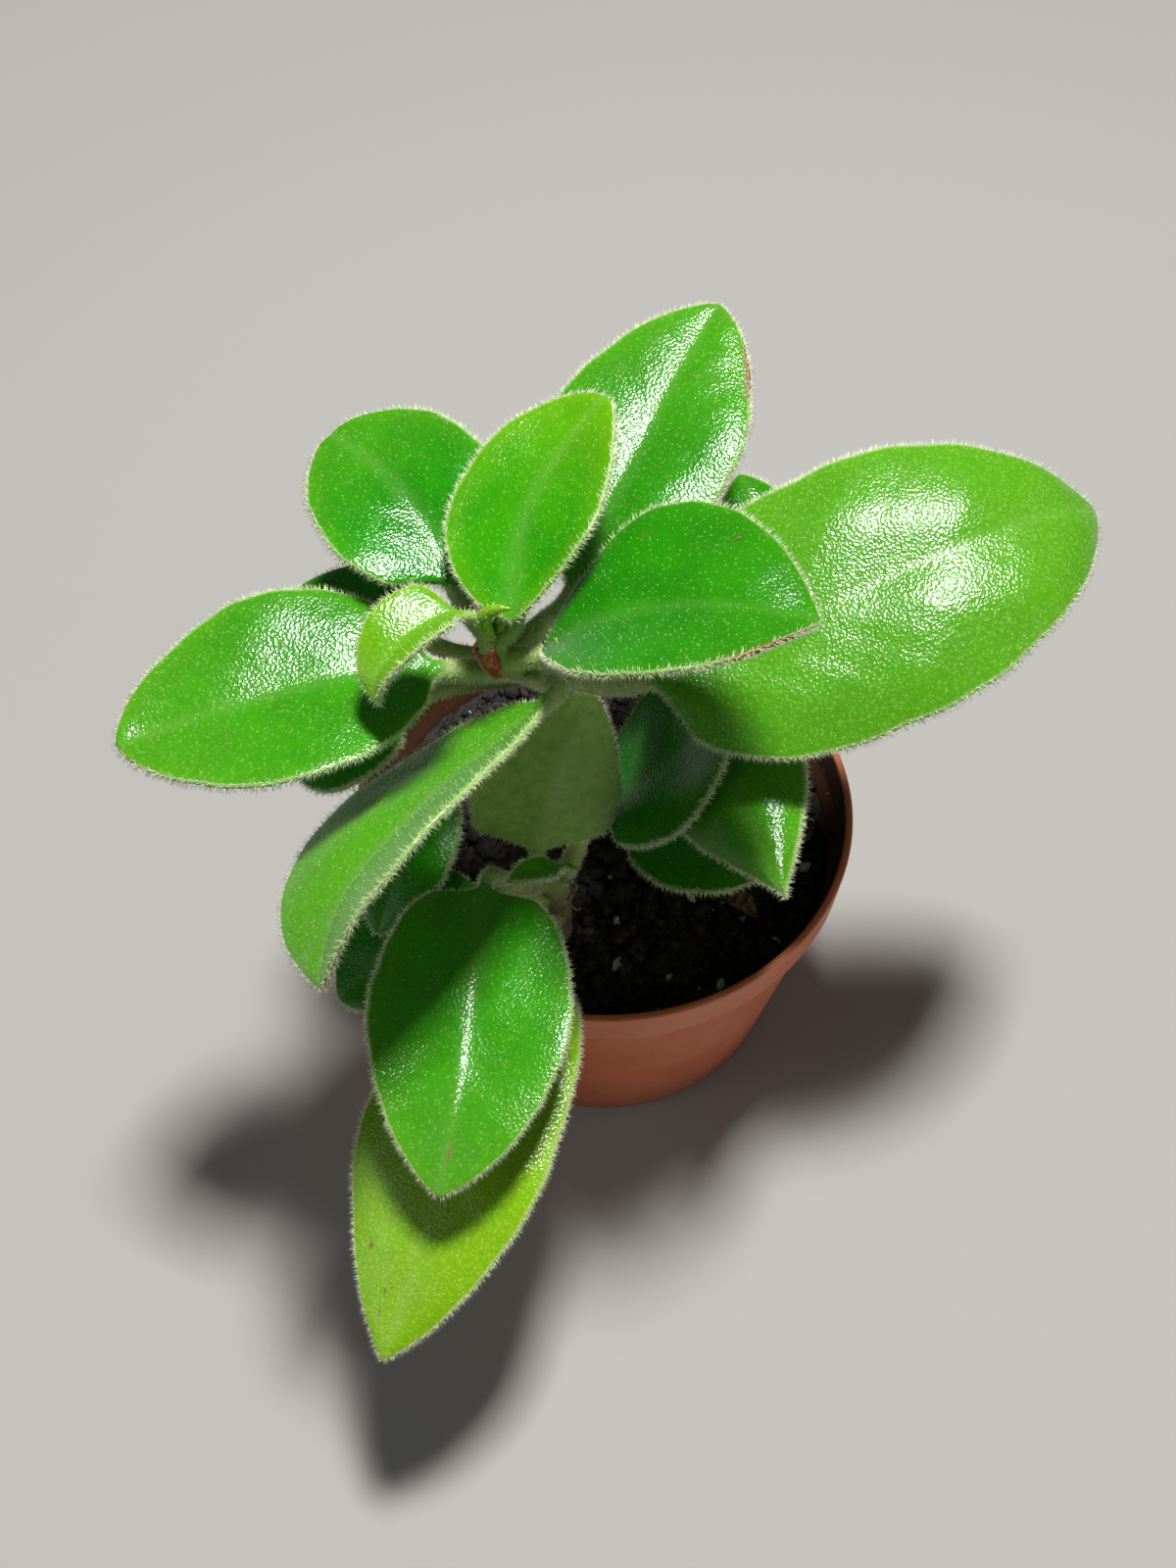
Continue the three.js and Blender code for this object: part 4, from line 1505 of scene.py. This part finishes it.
@dataclass(frozen=True)
class Pot:
    """A shallow round nursery pot with a collar, six drain holes and a rolled rim.

    Lengths are in millimetres.
    """

    height: float = 54.0
    rim: float = 45.0
    base: float = 33.5
    collar: float = 8.0
    collar_step: float = 1.4
    collar_slope: float = 0.8
    wall: float = 1.5
    floor: float = 2.0
    drain_circle: float = 24.0
    drain_radius: float = 3.0
    drains: int = 6
    sides: int = 160

    def wall_at(self, height: float) -> float:
        """Outer radius of the wall at a height, below the collar."""
        top = self.rim - self.collar_slope - self.collar_step
        return self.base + (top - self.base) * height / (self.height - self.collar)

    def profile(self) -> list[tuple[float, float, float]]:
        """Radius, height and edge rounding of the section, from the middle of the foot."""
        under = self.height - self.collar
        collar_foot = self.rim - self.collar_slope
        lip = self.rim - self.wall
        return [
            # foot and outer wall
            (0.0, 0.0, 0.0),
            (self.base - 3.0, 0.0, 0.0),
            (self.base, 0.0, 0.9),
            (self.wall_at(15.0), 15.0, 0.0),
            (self.wall_at(30.0), 30.0, 0.0),
            (self.wall_at(under), under, 0.5),
            # collar and lip
            (collar_foot, under, 0.45),
            (self.rim - 0.15, self.height - 1.4, 0.0),
            (self.rim, self.height, 0.6),
            (lip, self.height, 0.6),
            # inner wall and floor
            (lip - 0.8, self.height - 6.5, 0.5),
            (self.wall_at(under) - self.wall, under - 1.5, 0.6),
            (self.wall_at(20.0) - self.wall, 20.0, 0.0),
            (self.wall_at(self.floor) - self.wall, self.floor, 1.2),
            (0.0, self.floor, 0.0),
        ]

    def shell(self) -> bmesh.types.BMesh:
        """Spin the section into a closed shell and round its edges."""
        made = bmesh.new()
        section = self.profile()
        verts = [made.verts.new((radius * MM, 0.0, height * MM)) for radius, height, _ in section]
        edges = [made.edges.new(pair) for pair in zip(verts, verts[1:])]
        bmesh.ops.spin(
            made, geom=verts + edges, cent=(0, 0, 0), axis=(0, 0, 1), angle=2 * math.pi,
            steps=self.sides, use_merge=True, use_duplicate=False,
        )
        bmesh.ops.remove_doubles(made, verts=made.verts, dist=1e-6)
        for radius, height, rounding in section:
            if rounding > 0:
                self.round_edge(made, radius, height, rounding)
        bmesh.ops.recalc_face_normals(made, faces=made.faces)
        return made

    def round_edge(self, made: bmesh.types.BMesh, radius: float, height: float, rounding: float) -> None:
        """Bevel one ring of edges.

        Args:
            made: The shell.
            radius: Radius of the ring.
            height: Height of the ring.
            rounding: Width of the bevel.
        """
        def on_ring(vert: bmesh.types.BMVert) -> bool:
            """Tell whether a vertex stands on the ring."""
            far = abs(math.hypot(vert.co.x, vert.co.y) - radius * MM)
            return far < 1e-6 and abs(vert.co.z - height * MM) < 1e-6

        ring = [edge for edge in made.edges if all(on_ring(vert) for vert in edge.verts)]
        bmesh.ops.bevel(
            made, geom=ring, offset=rounding * MM, affect="EDGES", segments=4, profile=0.5, material=-1,
        )

    def drain_cutters(self) -> bmesh.types.BMesh:
        """Short rods where the drain holes go."""
        made = bmesh.new()
        for number in range(self.drains):
            turn = Matrix.Rotation(2 * math.pi * (number + 0.5) / self.drains, 4, "Z")
            place = turn @ Matrix.Translation((self.drain_circle * MM, 0.0, self.floor / 2 * MM))
            bmesh.ops.create_cone(
                made, cap_ends=True, segments=32, radius1=self.drain_radius * MM,
                radius2=self.drain_radius * MM, depth=self.floor * 3 * MM, matrix=place,
            )
        return made

    def build(self, plastic: bpy.types.Material) -> None:
        """Make the pot.

        Args:
            plastic: Its material.
        """
        shell = add_object("shell", as_mesh("shell", self.shell()))
        cutter = add_object("cutter", as_mesh("cutter", self.drain_cutters()))
        cut = shell.modifiers.new("drains", "BOOLEAN")
        cut.operation = "DIFFERENCE"
        cut.object = cutter
        graph = bpy.context.evaluated_depsgraph_get()
        made = bmesh.new()
        made.from_mesh(shell.evaluated_get(graph).to_mesh())
        bpy.data.objects.remove(shell)
        bpy.data.objects.remove(cutter)
        soften(made)
        for edge in made.edges:
            edge.smooth = len(edge.link_faces) == 2 and edge.calc_face_angle() < math.radians(40)
        as_piece("pot_moulded", made, [plastic], ("pot",))


@dataclass(frozen=True)
class Soil:
    """Damp peat with crumbs, fibres and pale grains. Lengths are in millimetres.

    Attributes:
        pot: The pot that it fills.
        top: Height of its top.
        clearance: Gap between it and the wall.
        crown: How far its middle stands above its top.
        slump: How far its rim lies below its middle.
        rings: Rings of faces on its top.
        side_rows: Rings of faces on its side.
        sides: Faces in a ring.
        crumbs: Number of small crumbs.
        clods: Number of larger ones.
        grains: Number of pale grains.
        crumb_sizes: Smallest and largest radius of a small crumb.
        clod_sizes: The same for a larger one.
        grain_sizes: The same for a pale grain.
        fibres: Number of threads.
        fibre_reach: Radius of the disc that they lie on.
    """

    pot: Pot
    top: float = 46.0
    clearance: float = 0.4
    crown: float = 0.5
    slump: float = 1.9
    rings: int = 120
    side_rows: int = 8
    sides: int = 330
    crumbs: int = 3400
    clods: int = 170
    grains: int = 150
    crumb_sizes: tuple[float, float] = (0.3, 1.5)
    clod_sizes: tuple[float, float] = (1.0, 2.6)
    grain_sizes: tuple[float, float] = (0.25, 1.3)
    fibres: int = 260
    fibre_reach: float = 40.0

    def edge_at(self, height: float) -> float:
        """Radius of the peat at a height."""
        return self.pot.wall_at(height) - self.pot.wall - self.clearance

    def surface(self, x: float, y: float) -> float:
        """Height of the peat at a place."""
        outward = math.hypot(x, y) / self.edge_at(self.top)
        height = self.top + self.crown - self.slump * max((outward - 0.55) / 0.45, 0.0) ** 2
        spot = Vector((x, y, 7.0))
        height += 1.1 * noise.noise(spot * 0.09) + 0.75 * noise.noise(spot * 0.3)
        height += 0.55 * noise.turbulence(spot * 0.75, 4, False) - 0.3
        return height

    def heights(self, x: np.ndarray, y: np.ndarray) -> np.ndarray:
        """Heights of the peat at many places."""
        return np.array([self.surface(float(px), float(py)) for px, py in zip(x, y)])

    def skin(self) -> Skin:
        """The peat's body: flat below, with a rough crumbly top."""
        point = 0.001
        edge = self.edge_at(self.top)
        low = self.pot.floor + 0.3
        low_edge = self.edge_at(low) - 0.9
        angles = ring_angles(self.sides)
        cos, sin = np.cos(angles), np.sin(angles)
        rings = [np.stack([cos * point, sin * point, np.full(self.sides, low)], axis=1)]
        for share in np.linspace(0.0, 1.0, self.side_rows + 1):
            radius = low_edge + (edge - low_edge) * share
            height = low + (self.top - 3.0 - low) * share
            rings.append(np.stack([cos * radius, sin * radius, np.full(self.sides, height)], axis=1))
        for row in range(self.rings + 1):
            radius = edge * (1 - row / self.rings) + point
            x, y = cos * radius, sin * radius
            rings.append(np.stack([x, y, self.heights(x, y)], axis=1))
        return Skin(np.array(rings))

    def lump(self, divisions: int, seed: float, flat: float) -> bmesh.types.BMesh:
        """A lumpy little grain of radius 1."""
        made = bmesh.new()
        bmesh.ops.create_icosphere(made, subdivisions=divisions, radius=1.0)
        for vert in made.verts:
            vert.co *= 1.0 + 0.75 * noise.noise(vert.co * 1.4 + Vector((seed, 0.0, 0.0)))
            vert.co.z *= flat
        return made

    def disc(self, draw: np.random.Generator, count: int, reach: float) -> tuple[np.ndarray, np.ndarray]:
        """Draw places that are spread evenly over a disc."""
        radius = reach * np.sqrt(draw.random(count))
        angle = draw.random(count) * 2 * math.pi
        return radius * np.cos(angle), radius * np.sin(angle)

    def scatter(
        self, template: bmesh.types.BMesh, count: int, sizes: tuple[float, float], slot: int, seed: int,
        clear: tuple[tuple[float, float, float], ...],
    ) -> bpy.types.Mesh:
        """Lay copies of a grain on the peat.

        Args:
            template: The grain.
            count: How many to lay.
            sizes: Smallest and largest radius.
            slot: Material slot number.
            seed: Seed of the draws.
            clear: Places with a radius that stay bare, round the stems.

        Returns:
            The grains as one mesh, in metres.
        """
        draw = np.random.default_rng(seed)
        x, y = self.disc(draw, count, self.edge_at(self.top) - 1.2)
        kept = np.ones(count, dtype=bool)
        for stem_x, stem_y, gap in clear:
            kept &= np.hypot(x - stem_x, y - stem_y) > gap
        x, y = x[kept], y[kept]
        size = sizes[0] + (sizes[1] - sizes[0]) * draw.random(len(x)) ** 2.5
        z = self.heights(x, y) + size * 0.25
        up = unit(draw.normal(0.0, 1.0, (len(x), 3)))
        frames = axes_from(up, draw.random(len(x)) * 2 * math.pi)
        stretch = draw.uniform(0.7, 1.3, (len(x), 1, 3))
        places = np.stack([x, y, z], axis=1)
        return copies(template, frames * stretch * size[:, None, None] * MM, places * MM, slot)

    def fibre(self) -> bmesh.types.BMesh:
        """A bent thread of length 1 along Z."""
        made = bmesh.new()
        bmesh.ops.create_cone(made, cap_ends=False, segments=4, radius1=1.0, radius2=0.5, depth=1.0)
        rungs = [edge for edge in made.edges if abs(edge.verts[0].co.z - edge.verts[1].co.z) > 0.5]
        bmesh.ops.subdivide_edges(made, edges=rungs, cuts=3, use_grid_fill=False)
        for vert in made.verts:
            vert.co.x += 4.0 * math.sin(vert.co.z * 3.0) + 1.6 * math.cos(vert.co.z * 7.0)
        bmesh.ops.triangulate(made, faces=made.faces)
        return made

    def threads(self, seed: int) -> bpy.types.Mesh:
        """Fibres that lie flat on the peat."""
        draw = np.random.default_rng(seed)
        x, y = self.disc(draw, self.fibres, self.fibre_reach)
        z = self.heights(x, y) + 0.25
        up = unit(draw.normal(0.0, 1.0, (self.fibres, 3)) * np.array([1.0, 1.0, 0.2]))
        frames = axes_from(up, draw.random(self.fibres) * 2 * math.pi)
        thick = draw.uniform(0.06, 0.22, self.fibres)
        long = draw.uniform(2.0, 7.0, self.fibres)
        frames[:, :, :2] *= thick[:, None, None]
        frames[:, :, 2] *= long[:, None]
        return copies(self.fibre(), frames * MM, np.stack([x, y, z], axis=1) * MM, 1)

    def build(self, materials: list[bpy.types.Material], stems: tuple[Stem, ...]) -> None:
        """Make the soil and what lies on it.

        Args:
            materials: Peat, bark and pale grain.
            stems: The stems, which stay clear of loose grains.
        """
        clear = tuple((stem.knots_mm[0][0], stem.knots_mm[0][1], stem.foot_mm) for stem in stems)
        made = self.skin().mesh()
        for number in range(4):
            crumb = self.lump(1, 3.7 * number, 0.8)
            many = self.crumbs // 4
            made.from_mesh(self.scatter(crumb, many, self.crumb_sizes, number % 2, number, clear))
        clod, grain = self.lump(2, 5.1, 0.7), self.lump(2, 9.3, 0.85)
        made.from_mesh(self.scatter(clod, self.clods, self.clod_sizes, 0, 11, clear))
        made.from_mesh(self.scatter(grain, self.grains, self.grain_sizes, 2, 12, clear))
        made.from_mesh(self.threads(13))
        as_piece("soil_crumbly", made, materials, ("soil",))


# Studio


@dataclass(frozen=True)
class Lamp:
    """One square soft light.

    Attributes:
        name: The light's name.
        place: Its place in metres.
        size: Its side in metres.
        power: Its power in watts.
        colour: Its colour.
    """

    name: str
    place: Point
    size: float
    power: float
    colour: Colour

    def hang(self, aim: Point) -> None:
        """Put the light in the scene, facing a point in metres."""
        data = bpy.data.lights.new(self.name, "AREA")
        data.shape = "SQUARE"
        data.size = self.size
        data.energy = self.power
        data.color = self.colour
        lamp = add_object(self.name, data)
        lamp.location = self.place
        lamp.rotation_euler = (Vector(aim) - Vector(self.place)).to_track_quat("-Z", "Y").to_euler()


@dataclass(frozen=True)
class Studio:
    """Camera, floor and soft lights.

    Attributes:
        camera_mm: The camera's place.
        pitch: Its angle from straight down, in degrees.
        yaw: Its turn about the upright, in degrees.
        lens: Its focal length in millimetres.
        sensor: Width of its sensor in millimetres.
        near: The nearest distance that it sees, in metres.
        floor_half: Half the side of the floor in metres.
        middle: The point that the lights face, in metres.
        lamps: The lights.
        room: Colour of the light from all round.
        room_strength: Its strength.
    """

    camera_mm: Point = (0.0, -208.0, 341.0)
    pitch: float = 36.5
    yaw: float = 0.8
    lens: float = 45.0
    sensor: float = 36.0
    near: float = 0.01
    floor_half: float = 2.5
    middle: Point = (0.0, -0.02, 0.09)
    lamps: tuple[Lamp, ...] = (
        Lamp("overhead", (0.08, 0.12, 1.30), 0.20, 24.0, (1.0, 0.99, 0.96)),
        Lamp("left_fill", (-1.1, -0.6, 0.7), 0.9, 2.4, (0.94, 0.97, 1.0)),
        Lamp("right_fill", (1.0, -0.8, 0.6), 0.9, 2.4, (1.0, 0.98, 0.95)),
    )
    room: Colour = (0.80, 0.83, 0.88)
    room_strength: float = 0.05

    def camera(self) -> None:
        """Set the camera at the photograph's angle."""
        data = bpy.data.cameras.new("camera")
        data.lens = self.lens
        data.sensor_width = self.sensor
        data.clip_start = self.near
        camera = add_object("camera", data)
        camera.location = Vector(self.camera_mm) * MM
        camera.rotation_euler = Euler((math.radians(self.pitch), 0.0, math.radians(self.yaw)))
        bpy.context.scene.camera = camera

    def floor(self) -> None:
        """Lay the pale floor."""
        made = bmesh.new()
        bmesh.ops.create_grid(made, x_segments=1, y_segments=1, size=self.floor_half)
        mesh = as_mesh("floor", made)
        mesh.materials.append(FloorFinish().make())
        floor = add_object("floor", mesh)

    def build(self) -> None:
        """Set up camera, floor and lights."""
        self.camera()
        self.floor()
        for lamp in self.lamps:
            lamp.hang(self.middle)
        world = bpy.data.worlds.new("soft_room")
        world.use_nodes = True
        backdrop = world.node_tree.nodes["Background"]
        backdrop.inputs["Color"].default_value = (*self.room, 1.0)
        backdrop.inputs["Strength"].default_value = self.room_strength
        bpy.context.scene.view_settings.view_transform = "Standard"
        bpy.context.scene.world = world


# The plant


@dataclass(frozen=True)
class Plant:
    """The potted peperomia: pot, soil, stems, leaves and dry scraps."""

    pot: Pot = Pot()
    green: LeafFinish = LeafFinish(
        "green_leaf", face=(0.016, 0.250, 0.002), shade=(0.009, 0.190, 0.002),
        tip=(0.135, 0.380, 0.014), margin=(0.34, 0.50, 0.16), back=(0.17, 0.31, 0.07),
    )
    lime: LeafFinish = LeafFinish(
        "lime_leaf", face=(0.034, 0.290, 0.001), shade=(0.020, 0.245, 0.001),
        tip=(0.235, 0.445, 0.006), margin=(0.40, 0.54, 0.17), back=(0.20, 0.35, 0.07),
    )
    dark: LeafFinish = LeafFinish(
        "dark_leaf", face=(0.016, 0.220, 0.002), shade=(0.010, 0.170, 0.002),
        tip=(0.060, 0.270, 0.005), margin=(0.28, 0.42, 0.12), back=(0.27, 0.46, 0.09), shine=0.28,
    )
    hair: HairFinish = HairFinish("pale_hair", (0.84, 0.92, 0.60))
    stem_hair: HairFinish = HairFinish("tawny_hair", (0.62, 0.58, 0.42))
    bark: StemFinish = StemFinish(
        "stem_skin", young=(0.25, 0.36, 0.10), old=(0.30, 0.22, 0.11), scar=(0.13, 0.09, 0.05),
    )
    plastic: PotFinish = PotFinish(
        "terracotta_plastic", colour=(0.56, 0.132, 0.052), worn_and_lit=(0.62, 0.185, 0.085),
        dust=(0.66, 0.52, 0.43),
    )
    # Peat and bark chips: their own dark brown, made nearly black with painted shade of the leaves above
    # them.
    peat: GrainFinish = GrainFinish("damp_peat_with_painted_shade", (0.005, 0.004, 0.003), (0.024, 0.017, 0.011), 1.2, 0.35)
    chips: GrainFinish = GrainFinish("bark_chips_with_painted_shade", (0.012, 0.008, 0.005), (0.060, 0.038, 0.022), 0.9, 0.2)
    perlite: GrainFinish = GrainFinish("perlite", (0.50, 0.46, 0.40), (0.78, 0.76, 0.72), 0.7, 0.1, 0.9)
    dead: GrainFinish = GrainFinish("dead_leaf", (0.10, 0.055, 0.025), (0.33, 0.20, 0.10), 1.1, 0.15, 0.7)
    wound: GrainFinish = GrainFinish(
        "healed_stub", (0.30, 0.030, 0.018), (0.72, 0.26, 0.18), 1.4, 0.05, 0.45,
    )

    def scraps(self) -> tuple[Scrap, ...]:
        """The dry scraps of old leaves."""
        return (
            Scrap("dry_curl_front", (21, -15.5, 47.4), (27.5, -20, 47.6), 4.5, 1.3, ("dry_scrap_front",)),
            Scrap("dry_curl_right", (34.5, -5, 46.8), (38.5, 1.5, 47), 4.0, 1.1, ("dry_scrap_right",)),
        )

    def shootlets(self) -> tuple[Shootlet, ...]:
        """The bud with its scale, dry flecks on leaves, and the scale and threads of the front shoot."""
        return (
            Shootlet(
                "bud_folded",
                (
                    (-16.7, -23.4, 127.0), (-17.3, -24.8, 130.5), (-17.0, -25.6, 133.8),
                    (-15.2, -26.2, 136.0), (-13.2, -26.5, 136.5),
                ),
                (1.5, 1.45, 1.2, 0.75, 0.12), flat=0.75, nodes=("bud",), fuzz=1.5,
            ),
            Shootlet(
                "bud_scale",
                (
                    (-16.0, -22.8, 127.0), (-15.2, -23.6, 130.0), (-14.6, -24.4, 132.0),
                    (-14.0, -24.8, 133.4),
                ),
                (1.2, 1.1, 0.8, 0.15), flat=0.5, fuzz=1.5,
            ),
            Shootlet(
                "brown_tuft", ((-17.6, -22.6, 128.5), (-18.3, -22.8, 131.5), (-18.8, -23.0, 133.4)),
                (0.8, 0.9, 0.3), slot=Slot.DRY, fuzz=7.0,
            ),
            Shootlet(
                "dry_fleck_back", ((7.0, 6.2, 126.3), (8.3, 7.6, 126.9), (9.4, 9.9, 127.6)),
                (0.2, 0.5, 0.3), flat=0.5, slot=Slot.DRY,
            ),
            Shootlet(
                "dry_fleck_right", ((17.4, -18.6, 141.5), (18.3, -17.8, 141.8), (19.3, -17.4, 141.7)),
                (0.15, 0.3, 0.15), flat=0.5, slot=Slot.DRY,
            ),
            Shootlet(
                "front_scale", ((-6.2, -27.4, 74.0), (-5.2, -28.2, 75.2), (-3.8, -28.9, 75.2)),
                (0.9, 0.6, 0.1), flat=0.4, fuzz=1.5, slot=Slot.GREEN,
            ),
            Shootlet(
                "dry_thread_long",
                (
                    (-6.0, -27.0, 72.5), (-4.4, -29.0, 70.5), (-5.6, -30.2, 68.0),
                    (-4.2, -30.6, 66.0), (-3.6, -31.0, 67.2),
                ),
                (0.35, 0.3, 0.4, 0.3, 0.12), flat=0.4, slot=Slot.DRY,
            ),
            Shootlet(
                "dry_thread_short", ((-6.4, -27.4, 71.5), (-5.0, -28.6, 69.0), (-6.2, -29.6, 67.0)),
                (0.4, 0.35, 0.15), flat=0.35, slot=Slot.DRY,
            ),
        )

    def stub(self) -> Shootlet:
        """The healed red stub of a fallen leaf, beside the top of the main stem."""
        return Shootlet(
            "leaf_stub", ((-15.6, -23.0, 119.6), (-16.6, -24.2, 122.2), (-17.7, -24.9, 126.2)),
            (1.7, 1.75, 1.6), slot=Slot.DRY,
        )

    def build(self) -> None:
        """Make the whole plant in its pot."""
        self.pot.build(self.plastic.make())
        Soil(self.pot).build([self.peat.make(), self.chips.make(), self.perlite.make()], STEMS)
        materials = {
            Slot.GREEN: self.green.make(), Slot.LIME: self.lime.make(), Slot.DARK: self.dark.make(),
        }
        hair, stem_hair, bark, dead = (
            finish.make() for finish in (self.hair, self.stem_hair, self.bark, self.dead)
        )
        by_shoot = {stem.node: stem for stem in STEMS}
        for stem in STEMS:
            joints = [leaf.at for leaf in LEAVES if leaf.shoot is stem.node]
            stem.build(joints, bark, stem_hair)
        for leaf in LEAVES:
            leaf.build(by_shoot[leaf.shoot], materials, hair)
        covers = {**materials, Slot.DRY: dead}
        for shootlet in self.shootlets():
            shootlet.build(covers[shootlet.slot], hair)
        self.stub().build(self.wound.make(), hair)
        for scrap in self.scraps():
            scrap.build(dead)


def main() -> None:
    """Build the studio and the plant."""
    logging.basicConfig(level=logging.INFO, format="%(message)s")
    Studio().build()
    Plant().build()


if __name__ == "__main__":
    main()
